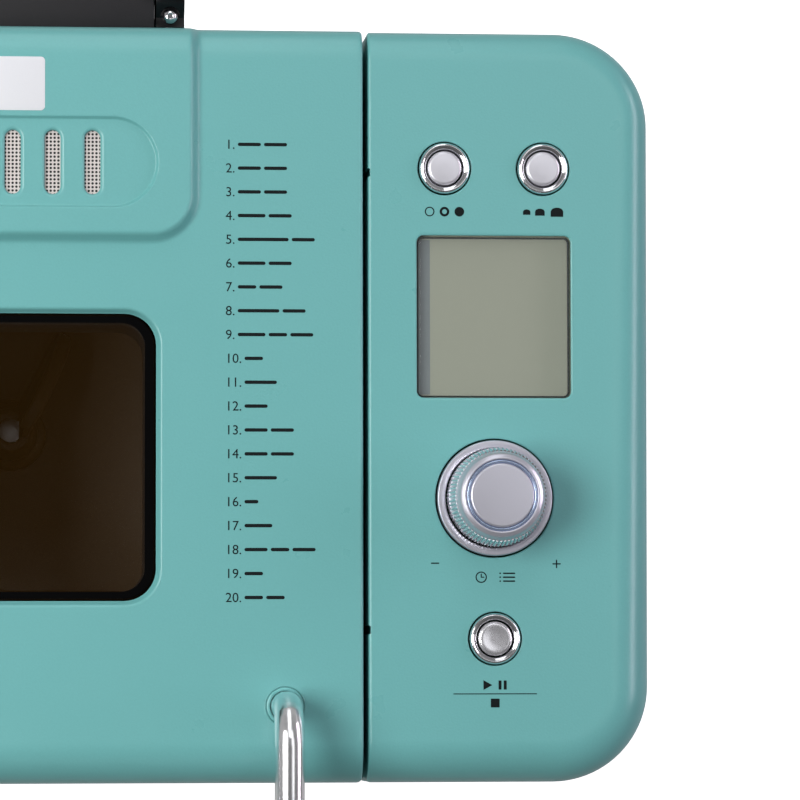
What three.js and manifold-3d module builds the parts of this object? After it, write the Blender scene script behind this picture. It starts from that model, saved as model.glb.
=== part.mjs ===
// Countertop bread machine: a shell on feet with a baking chamber on the left, a hinged lid over it and a
// control hood on the right. Inside are the pan with its paddle, the heater and the belt drive.
// Millimetres, +Z up, +X to the right, +Y to the back. The origin is on the table, under the middle.
import * as THREE from "three";
import { mergeVertices } from "three/addons/utils/BufferGeometryUtils.js";
import Module from "manifold-3d";

const wasm = await Module();
wasm.setup();

// ---- Driving dimensions ----
const bodyWidth = 306;
const bodyDepth = 232;
const cornerX = 28; // plan corners are quarter ellipses
const cornerY = 33;
const topZ = 290; // top of the lid
const hoodTop = 288; // top of the control hood
const edgeRound = 12; // rounding of the top edge
const skin = 2.5; // wall of the lid and hood mouldings
const gap = 0.3; // smallest gap between fixed pieces
const backFace = bodyDepth / 2 + gap; // where pieces stand against the back wall

const footHeight = 7.7;
const trayBottom = 8;
const shellBottom = 14;
const shellTop = 243.7;
const deckBottom = 240;
const deckTop = 246;
const lidBottom = 245;

const lidRight = 63.7;
const hoodLeft = 65.4;
const lidX = -43.65; // middle of lid, chamber, pan and drive
const hoodX = 104.3; // middle of the controls

const humpHeight = 3.6;
const humpHalfWidth = 57.5;
const humpFront = 49;
const humpCorner = 15;
const humpFillet = 2.4;

const windowY = -16.4;
const glassHalf = 43.6;
const glassCorner = 9.5;
const glassTop = topZ - 2.2;
const glassThick = 3.5;

const ventY = 73.7; // middle of the five vent slots
const ventPitch = 12.15;
const ventLength = 20;
const ventWidth = 4.9;
const ventCount = 5;
const ovalHalfLength = 44.3;
const ovalHalfWidth = 13.8;
const ovalDepth = 1.2;

const handleHalfSpan = 83.4;
const handleFootY = -92.4;
const handleRod = 4.5; // radius
const handleRise = 21; // rod's centreline above the lid
const handleBarY = -139;

const hingeY = 131;
const hingeZ = 256;
const hingeBlockHalf = 43.9;
const knuckleRadius = 12.5;
const knuckleWidth = 8.9;
const pinRadius = 3;

const chamberHalfX = 95.8;
const chamberHalfY = 88.8;
const chamberCorner = 18;
const chamberFloor = 84;
const sheet = 1.2; // sheet metal of the chamber

const panBottom = 100;
const panTop = 216;
const panHalfX = 75;
const panHalfY = 58;
const panCorner = 20;
const panFlareX = 1.04;
const panFlareY = 1.087;
const panWall = 1.8;
const rimHalfX = 82;
const rimHalfY = 67;
const bailZ = 218.5;
const bailHalfX = 86;
const bailReach = 62;
const bailCorner = 34;
const bailWire = 2;

const shaftRadius = 4;
const boreRadius = 4.3;
const bigPulley = 58;
const smallPulley = 9;
const beltZ = 46;
const beltHeight = 10;
const beltThick = 2;
const motorX = 107;
const motorRadius = 34;
const frameZ = 66;
const frameThick = 2.5;

const buttonY = 73;
const buttonHalfPitch = 15.25;
const startY = -71.9;
const bezelRadius = 7.9;
const capRadius = 5.3;
const buttonTravel = 1;
const knobY = -28.75;
const knobRingRadius = 17.75;
const knobBase = 15;
const knobTopRadius = 13;
const knobHeight = 22.7; // above the hood
const displayY = 27.2;
const displayHalfX = 23.6;
const displayHalfY = 24.8;
const boardZ = 266;

// ---- Materials ----
const paint = (color, roughness, metalness = 0) =>
  new THREE.MeshStandardMaterial({ color, roughness, metalness });
const teal = paint(0x66aca6, 0.5);
const blackPlastic = paint(0x1b1b1d, 0.6);
const darkPlastic = paint(0x2c2c30, 0.7);
const chrome = paint(0xd9dadf, 0.08, 1);
const satin = paint(0xbdbdc6, 0.3, 1);
const steel = paint(0xa9abad, 0.35, 1);
const sheetSteel = paint(0x8e9092, 0.45, 1);
const nonStick = paint(0x2a2624, 0.4, 0.2);
const rubber = paint(0x141414, 0.9);
const silicone = paint(0x6d6f70, 0.8);
const bronze = paint(0x9a6a35, 0.35, 1);
const copper = paint(0x7d4a2c, 0.5, 0.8);
const boardGreen = paint(0x1f5a36, 0.6);
const displayGrey = paint(0x8f9586, 0.3);
const clear = paint(0xdfe6e4, 0.05);
const smoked = paint(0x2a1c0c, 0.05);

// ---- Solids from three.js geometry ----
function solid(geometry) {
  const bare = geometry.index ? geometry.toNonIndexed() : geometry.clone();
  bare.deleteAttribute("normal");
  bare.deleteAttribute("uv");
  const merged = mergeVertices(bare, 1e-4);
  return new wasm.Manifold(
    new wasm.Mesh({
      numProp: 3,
      vertProperties: merged.attributes.position.array,
      triVerts: new Uint32Array(merged.index.array),
    }),
  );
}

function prism(shape, z0, z1, arcSteps = 4) {
  const options = { depth: z1 - z0, bevelEnabled: false, curveSegments: arcSteps };
  return solid(new THREE.ExtrudeGeometry(shape, options).translate(0, 0, z0));
}

// A prism whose upper outline is the lower one scaled about its own middle.
function tapered(shape, z0, z1, scaleX, scaleY, arcSteps = 4) {
  const options = { depth: z1 - z0, bevelEnabled: false, curveSegments: arcSteps };
  const geometry = new THREE.ExtrudeGeometry(shape, options);
  const place = geometry.attributes.position;
  for (let i = 0; i < place.count; i++) {
    if (place.getZ(i) > (z1 - z0) / 2) {
      place.setXY(i, place.getX(i) * scaleX, place.getY(i) * scaleY);
    }
  }
  return solid(geometry.translate(0, 0, z0));
}

const box = (x0, x1, y0, y1, z0, z1) =>
  solid(
    new THREE.BoxGeometry(x1 - x0, y1 - y0, z1 - z0).translate(
      (x0 + x1) / 2,
      (y0 + y1) / 2,
      (z0 + z1) / 2,
    ),
  );

const disc = (radius, z0, z1, sides = 24) =>
  solid(
    new THREE.CylinderGeometry(radius, radius, z1 - z0, sides)
      .rotateX(Math.PI / 2)
      .translate(0, 0, (z0 + z1) / 2),
  );

const ring = (outer, inner, z0, z1, sides = 24) =>
  disc(outer, z0, z1, sides).subtract(disc(inner, z0 - 1, z1 + 1, sides));

// A solid of revolution about Z from [radius, z] pairs, which start and end on the axis or close on themselves.
const turned = (profile, sides = 28) =>
  solid(
    new THREE.LatheGeometry(
      profile.map(([r, z]) => new THREE.Vector2(r, z)),
      sides,
    ).rotateX(Math.PI / 2),
  );

// A cylinder along X or Y, given by its middle line's ends.
const rodX = (radius, x0, x1, y, z, sides = 16) =>
  solid(
    new THREE.CylinderGeometry(radius, radius, x1 - x0, sides)
      .rotateZ(Math.PI / 2)
      .translate((x0 + x1) / 2, y, z),
  );
const rodY = (radius, y0, y1, x, z, sides = 16) =>
  solid(
    new THREE.CylinderGeometry(radius, radius, y1 - y0, sides).translate(x, (y0 + y1) / 2, z),
  );

// Rounded rectangle with elliptical corners, about its middle.
function roundedRect(halfX, halfY, rx, ry = rx) {
  const shape = new THREE.Shape();
  shape.moveTo(-halfX + rx, -halfY);
  shape.lineTo(halfX - rx, -halfY);
  shape.absellipse(halfX - rx, -halfY + ry, rx, ry, -Math.PI / 2, 0);
  shape.lineTo(halfX, halfY - ry);
  shape.absellipse(halfX - rx, halfY - ry, rx, ry, 0, Math.PI / 2);
  shape.lineTo(-halfX + rx, halfY);
  shape.absellipse(-halfX + rx, halfY - ry, rx, ry, Math.PI / 2, Math.PI);
  shape.lineTo(-halfX, -halfY + ry);
  shape.absellipse(-halfX + rx, -halfY + ry, rx, ry, Math.PI, 1.5 * Math.PI);
  return shape;
}

const footprint = (inset) =>
  roundedRect(bodyWidth / 2 - inset, bodyDepth / 2 - inset, cornerX - inset, cornerY - inset);

// The body's outline with a rounded top edge, from z0 up to z1.
function cap(inset, z0, z1) {
  const round = edgeRound - inset;
  const geometry = new THREE.ExtrudeGeometry(footprint(inset), {
    depth: z1 - z0,
    bevelThickness: round,
    bevelSize: round,
    bevelOffset: -round,
    bevelSegments: 4,
    curveSegments: 4,
  }).translate(0, 0, z0 - round);
  const reach = bodyWidth;
  return solid(geometry).intersect(box(-reach, reach, -reach, reach, z0, z1 + 1));
}

// A piece of round bar along a path, with flat ends.
function bar(path, radius, sides, steps) {
  const section = new THREE.Shape();
  section.absarc(0, 0, radius, 0, 2 * Math.PI);
  const geometry = new THREE.ExtrudeGeometry(section, {
    steps,
    curveSegments: sides / 2,
    bevelEnabled: false,
    extrudePath: path,
  });
  return solid(geometry);
}

// A path of straight runs through the given corners, each corner rounded to its radius.
function roundedPath(corners, radius) {
  const path = new THREE.CurvePath();
  let from = corners[0];
  for (let i = 1; i < corners.length - 1; i++) {
    const corner = corners[i];
    const before = corner.clone().sub(corners[i - 1]).setLength(radius);
    const after = corners[i + 1].clone().sub(corner).setLength(radius);
    const start = corner.clone().sub(before);
    const end = corner.clone().add(after);
    path.add(new THREE.LineCurve3(from, start));
    const pull = 0.4477; // the share of the radius left over by a cubic that follows a quarter circle
    path.add(
      new THREE.CubicBezierCurve3(
        start,
        corner.clone().sub(before.clone().multiplyScalar(pull)),
        corner.clone().add(after.clone().multiplyScalar(pull)),
        end,
      ),
    );
    from = end;
  }
  path.add(new THREE.LineCurve3(from, corners.at(-1)));
  return path;
}

const point = (x, y, z) => new THREE.Vector3(x, y, z);

// A slice of a ring between two angles in degrees.
function sector(inner, outer, from, to, z0, z1) {
  const a = THREE.MathUtils.degToRad(from);
  const b = THREE.MathUtils.degToRad(to);
  const shape = new THREE.Shape();
  shape.absarc(0, 0, outer, a, b, false);
  shape.absarc(0, 0, inner, b, a, true);
  return prism(shape, z0, z1, 3);
}

const machine = new THREE.Group();

function add(name, made, material) {
  const { vertProperties, triVerts } = made.getMesh();
  const geometry = new THREE.BufferGeometry();
  geometry.setAttribute("position", new THREE.BufferAttribute(vertProperties, 3));
  geometry.setIndex(new THREE.BufferAttribute(triVerts, 1));
  const flat = geometry.toNonIndexed();
  flat.computeVertexNormals();
  const mesh = new THREE.Mesh(flat, material);
  mesh.name = name;
  machine.add(mesh);
}

// ---- Base, feet and outer shell ----
function buildBody() {
  const wall = 2.2;
  const seat = 3.2;
  const tray = prism(footprint(seat), trayBottom, 32)
    .subtract(prism(footprint(seat + 2.5), trayBottom + 3, 33));
  const slots = [];
  for (let i = 0; i < 7; i++) {
    const x = motorX - 30 + i * 10;
    slots.push(box(x - 2, x + 2, -25, 25, trayBottom - 1, trayBottom + 4));
  }
  add("base_tray", wasm.Manifold.difference([tray, ...slots]), blackPlastic);

  const footProfile = [[0, 0], [9.5, 0], [11, 2], [12, footHeight], [0, footHeight]];
  for (const [side, x] of [["left", -118], ["right", 118]]) {
    for (const [end, y] of [["front", -82], ["rear", 82]]) {
      add(`foot_${end}_${side}`, turned(footProfile, 20).translate(x, y, 0), rubber);
    }
  }

  const cuts = [];
  for (let i = 0; i < 9; i++) {
    const y = -44 + i * 11;
    cuts.push(box(140, 160, y - 1.75, y + 1.75, 42, 92));
  }
  for (let i = 0; i < 5; i++) {
    const x = 68 + i * 9;
    cuts.push(box(x - 1.75, x + 1.75, 105, 125, 150, 200));
  }
  cuts.push(rodY(8.3, 105, 125, 104, 46));
  const shell = prism(footprint(0), shellBottom, shellTop)
    .subtract(prism(footprint(wall), shellBottom - 1, shellTop + 1));
  add("outer_shell", wasm.Manifold.difference([shell, ...cuts]), teal);

  const gland = rodY(11, backFace, backFace + 3.2, 104, 46, 20)
    .add(rodY(8, 108, backFace + 1, 104, 46, 20))
    .add(rodY(7, 118, 123, 104, 46, 20))
    .subtract(rodY(4, 100, 130, 104, 46, 12));
  add("cord_gland", gland, blackPlastic);

  const mouth = roundedRect(chamberHalfX - 0.8, chamberHalfY - 0.8, chamberCorner - 1);
  const deck = prism(footprint(3), deckBottom, deckTop)
    .subtract(prism(mouth, deckBottom - 1, deckTop + 1).translate(lidX, 0, 0))
    .subtract(box(74, 140, -92, 92, deckBottom - 1, deckTop + 1))
    .subtract(box(60.5, 64.6, -120, 120, lidBottom - 0.6, deckTop + 1));
  add("top_deck", deck, darkPlastic);
}

// ---- Chamber, heater and probe ----
function buildChamber() {
  const outer = roundedRect(chamberHalfX + sheet, chamberHalfY + sheet, chamberCorner + sheet);
  const inner = roundedRect(chamberHalfX, chamberHalfY, chamberCorner);
  const lip = roundedRect(chamberHalfX + 6, chamberHalfY + 6, chamberCorner + 6);
  const heaterZ = 106;
  const terminalY = 14;
  const liner = prism(outer, chamberFloor, 239)
    .add(prism(lip, 238, deckBottom - gap))
    .subtract(prism(inner, chamberFloor + sheet, 241))
    .subtract(disc(13, 80, 90))
    .subtract(rodX(4, 85, 105, terminalY, heaterZ, 12))
    .subtract(rodX(4, 85, 105, -terminalY, heaterZ, 12))
    .subtract(rodY(3.3, 85, 95, 30, 150, 12))
    .translate(lidX, 0, 0);
  add("chamber_liner", liner, sheetSteel);

  const runX = 88;
  const runY = 80;
  const loop = [
    point(104, -terminalY, heaterZ),
    point(runX, -terminalY, heaterZ),
    point(runX, -runY, heaterZ),
    point(-runX, -runY, heaterZ),
    point(-runX, runY, heaterZ),
    point(runX, runY, heaterZ),
    point(runX, terminalY, heaterZ),
    point(104, terminalY, heaterZ),
  ];
  add("heating_element", bar(roundedPath(loop, 7), 3.2, 6, 72).translate(lidX, 0, 0), sheetSteel);

  const probe = rodY(3, 78, 100, 30, 150, 12).add(rodY(5.5, 90.3, 99, 30, 150, 12));
  add("temperature_probe", probe.translate(lidX, 0, 0), steel);
  add("heat_shield", box(62, 63, -86, 86, 90, 236), sheetSteel);

  const lockFrom = -11.5;
  const lockTo = 21.5;
  let socket = ring(44, 36.4, chamberFloor + sheet + gap, 98, 32);
  for (const turn of [0, 180]) {
    socket = socket
      .subtract(sector(34, 40.8, turn + lockFrom, turn + lockTo, 87.4, 92.2))
      .subtract(sector(34, 40.8, turn - 1.5, turn + lockTo, 90, 99));
  }
  add("pan_socket", socket.translate(lidX, 0, 0), steel);
}

// ---- Bread pan, bail, shaft and paddle ----
function buildPan() {
  const outline = roundedRect(panHalfX, panHalfY, panCorner);
  const hollow = roundedRect(panHalfX - panWall, panHalfY - panWall, panCorner - panWall);
  const rim = roundedRect(rimHalfX, rimHalfY, panCorner + 5);
  let pan = tapered(outline, panBottom, panTop, panFlareX, panFlareY)
    .add(prism(rim, panTop - 2.5, panTop))
    .add(disc(12, panBottom, panBottom + 7))
    .add(box(78.5, 81.5, -7, 7, panTop - 2.5, 224))
    .add(box(-81.5, -78.5, -7, 7, panTop - 2.5, 224))
    .subtract(tapered(hollow, panBottom + panWall, panTop + 1, panFlareX, panFlareY)
      .subtract(disc(12, panBottom, panBottom + 7)))
    .subtract(disc(8.4, panBottom - 1, panBottom + 8, 20))
    .subtract(rodX(2.4, -90, 90, 0, bailZ, 12));
  add("bread_pan", pan.translate(lidX, 0, 0), nonStick);

  let base = ring(36, 30, 87, panBottom - gap, 32);
  for (const turn of [0, 180]) {
    base = base.add(sector(34, 40.2, turn - 10, turn + 10, 88, 91.6));
  }
  add("pan_base_ring", base.translate(lidX, 0, 0), steel);

  const corners = [
    point(77.5, 0, bailZ),
    point(bailHalfX, 0, bailZ),
    point(bailHalfX, -bailReach, bailZ),
    point(-bailHalfX, -bailReach, bailZ),
    point(-bailHalfX, 0, bailZ),
    point(-77.5, 0, bailZ),
  ];
  const wire = new THREE.CurvePath();
  for (const curve of roundedPath(corners.slice(0, 3), 4).curves.slice(0, 2)) wire.add(curve);
  const arch = roundedPath(corners.slice(1, 5), bailCorner).curves;
  const armStart = point(bailHalfX, -4, bailZ);
  const armEnd = point(-bailHalfX, -4, bailZ);
  wire.add(new THREE.LineCurve3(armStart, arch[0].v2));
  for (const curve of arch.slice(1, 4)) wire.add(curve);
  wire.add(new THREE.LineCurve3(arch[4].v1, armEnd));
  for (const curve of roundedPath(corners.slice(3), 4).curves.slice(1)) wire.add(curve);
  add("pan_bail", bar(wire, bailWire, 6, 72).translate(lidX, 0, 0), steel);

  const bushing = ring(8.1, boreRadius, 96, panBottom + 9.5, 20);
  add("shaft_bushing", bushing.translate(lidX, 0, 0), bronze);
  const seal = ring(7.6, boreRadius, panBottom + 9.8, panBottom + 11.2, 20);
  add("shaft_seal", seal.translate(lidX, 0, 0), rubber);

  const shaft = disc(shaftRadius, 90.5, 134, 16)
    .subtract(box(2.8, 6, -6, 6, 114, 140))
    .add(box(-2.4, 2.4, -9, 9, 90.5, 95));
  add("pan_shaft", shaft.translate(lidX, 0, 0), steel);

  const hubTop = 131;
  const blade = new THREE.Shape();
  blade.moveTo(0, 0);
  blade.lineTo(38, 0);
  blade.bezierCurveTo(41, 9, 33, 22, 19, 28);
  blade.bezierCurveTo(12, 31, 6, 31, 0, 26);
  const bladeSolid = solid(
    new THREE.ExtrudeGeometry(blade, {
      depth: 3.4,
      bevelThickness: 0.8,
      bevelSize: 0.8,
      bevelOffset: -0.8,
      bevelSegments: 1,
      curveSegments: 6,
    })
      .translate(0, 0, -1.7)
      .rotateX(Math.PI / 2)
      .rotateX(THREE.MathUtils.degToRad(8))
      .translate(0, 0, panBottom + 12.4),
  );
  const paddle = turned([[0, 111.6], [9, 111.6], [9.4, 114], [7.8, 128], [6.6, hubTop], [0, hubTop]], 20)
    .add(bladeSolid)
    .subtract(disc(boreRadius, 100, 140, 16))
    .rotate(0, 0, 62)
    .translate(lidX, 0, 0);
  add("kneading_paddle", paddle, nonStick);
}

// ---- Belt drive ----
function beltLoop(offset, z0, z1) {
  const big = bigPulley + offset;
  const small = smallPulley + offset;
  const reach = motorX - lidX;
  const tangent = Math.acos((bigPulley - smallPulley) / reach);
  const shape = new THREE.Shape();
  shape.absarc(lidX, 0, big, tangent, 2 * Math.PI - tangent, false);
  shape.absarc(motorX, 0, small, -tangent, tangent, false);
  shape.closePath();
  return prism(shape, z0, z1, 12);
}

function buildDrive() {
  const frame = box(-108, 141, -48, 48, frameZ, frameZ + frameThick)
    .add(box(-108, -104, -48, 48, 11.5, frameZ + 1))
    .add(box(136, 140, -48, 48, 11.5, frameZ + 1))
    .subtract(disc(12.3, 60, 80).translate(lidX, 0, 0))
    .subtract(disc(12, 60, 80).translate(motorX, 0, 0))
    .subtract(box(-8, 60, -34, 34, 60, 80));
  add("drive_frame", frame, sheetSteel);

  const bearing = turned([[5.3, 62], [12, 62], [12, frameZ + frameThick + 0.3], [15, frameZ + frameThick + 0.3],
    [15, 80], [5.3, 80], [5.3, 62]], 24);
  add("drive_bearing", bearing.translate(lidX, 0, 0), bronze);

  const driveShaft = disc(5, 38, 86.2, 16);
  add("drive_shaft", driveShaft.translate(lidX, 0, 0), steel);
  const coupling = disc(11, 86.5, 89.6, 24)
    .add(sector(6, 10.6, -20, 20, 89, 96))
    .add(sector(6, 10.6, 160, 200, 89, 96));
  add("drive_coupling", coupling.translate(lidX, 0, 0), steel);

  const pulleyTop = beltZ + beltHeight;
  let pulley = turned([[5.3, 42], [12, 42], [12, 45], [bigPulley, 45], [bigPulley, pulleyTop + 1],
    [bigPulley - 5, pulleyTop + 1], [bigPulley - 5, 48], [12, 48], [12, pulleyTop + 3], [5.3, pulleyTop + 3],
    [5.3, 42]], 36);
  const holes = [];
  for (let i = 0; i < 6; i++) {
    const angle = (i * Math.PI) / 3;
    holes.push(disc(10, 40, 50, 12).translate(33 * Math.cos(angle), 33 * Math.sin(angle), 0));
  }
  add("large_pulley", wasm.Manifold.difference([pulley, ...holes]).translate(lidX, 0, 0), darkPlastic);
  const belt = beltLoop(gap + beltThick, beltZ, pulleyTop).subtract(beltLoop(gap, beltZ - 1, pulleyTop + 1));
  add("drive_belt", belt, rubber);

  const motor = disc(motorRadius, frameZ + frameThick + gap, 124, 28)
    .add(disc(15, 123, 130, 20))
    .subtract(disc(4.4, 60, 116, 16));
  add("motor", motor.translate(motorX, 0, 0), steel);
  const rotor = disc(3.5, 43, 114, 16)
    .add(disc(smallPulley, 45, pulleyTop + 1, 20))
    .add(disc(smallPulley + 2, 43.2, 45, 20));
  add("motor_pulley", rotor.translate(motorX, 0, 0), steel);
}

// ---- Control hood, display, buttons and knob ----
function buildControls() {
  const outside = cap(0, shellTop + gap, hoodTop).intersect(box(hoodLeft, 200, -200, 200, 200, 300));
  const inside = cap(skin, 240, hoodTop - skin).intersect(box(hoodLeft + skin, 200, -200, 200, 200, 300));
  const displayHole = roundedRect(displayHalfX + gap, displayHalfY + gap, 2.2);
  const buttons = [
    ["color", hoodX - buttonHalfPitch, buttonY],
    ["weight", hoodX + buttonHalfPitch, buttonY],
    ["start", hoodX, startY],
  ];
  let hood = outside
    .subtract(inside)
    .subtract(box(hoodLeft - 1, 72, -113, 113, 240, deckTop + gap))
    .subtract(prism(displayHole, 280, 295).translate(hoodX, displayY, 0))
    .subtract(disc(knobRingRadius + gap, 280, 295, 40).translate(hoodX, knobY, 0));
  for (const [, x, y] of buttons) {
    hood = hood.subtract(disc(bezelRadius + gap, 280, 295, 28).translate(x, y, 0));
  }
  add("control_hood", hood, teal);

  let board = box(71, 142, -92, 92, boardZ, boardZ + 1.6);
  for (const [name, x, y] of buttons) {
    const bezel = turned([[5.8, -4.5], [7.9, -4.5], [7.9, 0.3], [7.3, 1.2], [6.6, 1.4], [5.8, 0.6],
      [5.8, -4.5]], 24);
    add(`${name}_button_bezel`, bezel.translate(x, y, hoodTop), chrome);
    const button = turned([[0, -15], [2, -15], [2, -6], [capRadius, -6], [capRadius, 0.8], [4.8, 1.5],
      [0, 1.8]], 20);
    add(`${name}_button_cap`, button.translate(x, y, hoodTop), chrome);
    board = board.add(box(x - 3, x + 3, y - 3, y + 3, boardZ + 1, 271.6));
  }

  const lens = prism(roundedRect(displayHalfX, displayHalfY, 1.9), -2.8, 0.4);
  add("display_lens", lens.translate(hoodX, displayY, hoodTop), clear);
  const display = box(hoodX - 25, hoodX + 25, displayY - 26.5, displayY + 26.5, boardZ + 1.6 + gap, hoodTop - 5);
  add("display_module", display, displayGrey);

  const knobRing = turned([[15.4, -4], [knobRingRadius, -4], [knobRingRadius, 1.6], [17, 2.4], [15.4, 1.2],
    [15.4, -4]], 32);
  add("knob_ring", knobRing.translate(hoodX, knobY, hoodTop), satin);
  const knob = turned([[0, 10], [3.3, 10], [3.3, 1.2], [knobBase - 2, 1.2], [knobBase, 3], [13.6, 16],
    [knobTopRadius, 19.5], [10.9, 22.2], [10.9, 20.6], [0, 20.6]], 32);
  add("control_knob", knob.translate(hoodX, knobY, hoodTop), satin);
  const knobCap = turned([[0, 20.9], [10.5, 20.9], [10.5, 22], [9.7, knobHeight], [0, knobHeight]], 24);
  add("knob_cap", knobCap.translate(hoodX, knobY, hoodTop), satin);
  add("encoder_shaft", disc(3, -12.6, 9.6, 12).translate(hoodX, knobY, hoodTop), steel);
  const encoder = box(-6.5, 6.5, -6.5, 6.5, boardZ + 1.6 + gap, hoodTop - 13).translate(hoodX, knobY, 0);
  add("encoder_body", encoder, steel);
  add("control_board", board, boardGreen);

  const power = box(74, 140, -86, -84.4, 140, 222)
    .add(box(80, 104, -84.5, -66, 150, 176))
    .add(box(110, 132, -84.5, -68, 150, 166))
    .add(box(84, 96, -84.5, -70, 190, 212))
    .add(box(108, 120, -84.5, -72, 186, 206));
  add("power_board", power, boardGreen);
}

// ---- Lid ----
function humpPrism(inset) {
  const halfX = humpHalfWidth - inset;
  const front = humpFront + inset;
  const radius = humpCorner - inset;
  const back = 150;
  const shape = new THREE.Shape();
  shape.moveTo(-halfX, back);
  shape.lineTo(-halfX, front + radius);
  shape.absarc(-halfX + radius, front + radius, radius, Math.PI, 1.5 * Math.PI);
  shape.lineTo(halfX - radius, front);
  shape.absarc(halfX - radius, front + radius, radius, 1.5 * Math.PI, 2 * Math.PI);
  shape.lineTo(halfX, back);
  const height = topZ + humpHeight - inset;
  const geometry = new THREE.ExtrudeGeometry(shape, {
    depth: 10,
    bevelThickness: humpFillet,
    bevelSize: humpFillet,
    bevelOffset: -humpFillet,
    bevelSegments: 2,
    curveSegments: 4,
  }).translate(lidX, 0, height - 10 - humpFillet);
  return solid(geometry);
}

function ventSlot(x, grow, z0, z1) {
  const radius = ventWidth / 2 + grow;
  const half = ventLength / 2 + grow;
  return prism(roundedRect(radius, half, radius), z0, z1, 3).translate(x, ventY, 0);
}

function buildLid() {
  const humpTop = topZ + humpHeight;
  const outside = cap(0, lidBottom, topZ)
    .add(humpPrism(0).intersect(cap(0, lidBottom + 30, humpTop)))
    .intersect(box(-200, lidRight, -200, 200, 200, 310));
  const inside = cap(skin, 240, topZ - skin)
    .add(humpPrism(skin).intersect(cap(skin, lidBottom + 30, humpTop - skin)))
    .intersect(box(-200, lidRight - skin, -200, 200, 200, 310));
  const paneHole = roundedRect(glassHalf + gap, glassHalf + gap, glassCorner + gap);
  const flare = (glassHalf + gap + 1.9) / (glassHalf + gap);
  const oval = roundedRect(ovalHalfLength, ovalHalfWidth, ovalHalfWidth - 0.01);
  const cuts = [
    inside,
    prism(paneHole, 270, 300).translate(lidX, windowY, 0),
    tapered(paneHole, glassTop, topZ + 0.2, flare, flare).translate(lidX, windowY, 0),
    prism(oval, humpTop - ovalDepth, 300, 6).translate(lidX, ventY, 0),
  ];
  const slotXs = [];
  for (let i = 0; i < ventCount; i++) {
    slotXs.push(lidX + (i - (ventCount - 1) / 2) * ventPitch);
  }
  for (const x of slotXs) cuts.push(ventSlot(x, 0, 285, 300));
  for (const side of [-1, 1]) {
    cuts.push(disc(handleRod + gap, 270, 300, 20).translate(lidX + side * handleHalfSpan, handleFootY, 0));
  }
  add("lid_shell", wasm.Manifold.difference([outside, ...cuts]), teal);

  const tubeHalf = 41;
  const tubeCorner = 8;
  const plateTop = 251.5;
  const tubeTop = glassTop - glassThick - 2;
  let liner = prism(footprint(skin + 0.5), 249.3, plateTop)
    .intersect(box(-200, lidRight - skin - 0.5, -200, 200, 200, 300))
    .add(prism(roundedRect(tubeHalf + 1.6, tubeHalf + 1.6, tubeCorner + 1.6), plateTop - 1, tubeTop)
      .translate(lidX, windowY, 0))
    .subtract(prism(roundedRect(tubeHalf, tubeHalf, tubeCorner), 240, 300).translate(lidX, windowY, 0));
  for (const x of slotXs) liner = liner.subtract(ventSlot(x, 0, 240, 260));
  add("lid_liner", liner, darkPlastic);

  const gasket = prism(roundedRect(43.2, 43.2, 9), tubeTop + gap, glassTop - glassThick - gap)
    .subtract(prism(roundedRect(tubeHalf, tubeHalf, tubeCorner), 270, 300));
  add("window_gasket", gasket.translate(lidX, windowY, 0), rubber);
  const glass = prism(roundedRect(glassHalf, glassHalf, glassCorner), glassTop - glassThick, glassTop);
  add("window_glass", glass.translate(lidX, windowY, 0), smoked);

  const sealOuter = roundedRect(chamberHalfX + 5, chamberHalfY + 5, chamberCorner + 4);
  const sealInner = roundedRect(chamberHalfX + 2, chamberHalfY + 2, chamberCorner + 1);
  const seal = prism(sealOuter, deckTop + 0.4, 249).subtract(prism(sealInner, 240, 260));
  add("lid_seal", seal.translate(lidX, 0, 0), silicone);

  const meshTop = humpTop - skin - gap;
  add("vent_mesh", box(-38, 38, ventY - 13, ventY + 13, meshTop - 0.8, meshTop).translate(lidX, 0, 0), steel);

  const rodZ = topZ + handleRise;
  const rodFoot = 276;
  const bend = 12;
  const corner = 18;
  const rod = new THREE.CurvePath();
  const left = lidX - handleHalfSpan;
  const right = lidX + handleHalfSpan;
  const rise = (x) => [point(x, handleFootY, rodFoot), point(x, handleFootY, rodZ), point(x, handleBarY, rodZ)];
  const up = roundedPath(rise(left), bend).curves;
  const down = roundedPath(rise(right).reverse(), bend).curves;
  const across = roundedPath(
    [point(left, handleFootY - bend, rodZ), point(left, handleBarY, rodZ), point(right, handleBarY, rodZ),
      point(right, handleFootY - bend, rodZ)],
    corner,
  ).curves;
  for (const curve of [up[0], up[1], ...across, down[1], down[2]]) rod.add(curve);
  add("lid_handle", bar(rod, handleRod, 12, 52), chrome);
  for (const [side, x] of [["left", left], ["right", right]]) {
    const nut = ring(8, handleRod + gap, 281.5, topZ - skin - gap, 6).subtract(disc(handleRod + gap, 270, 300, 20));
    add(`handle_nut_${side}`, nut.translate(x, handleFootY, 0), steel);
  }
}

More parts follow.
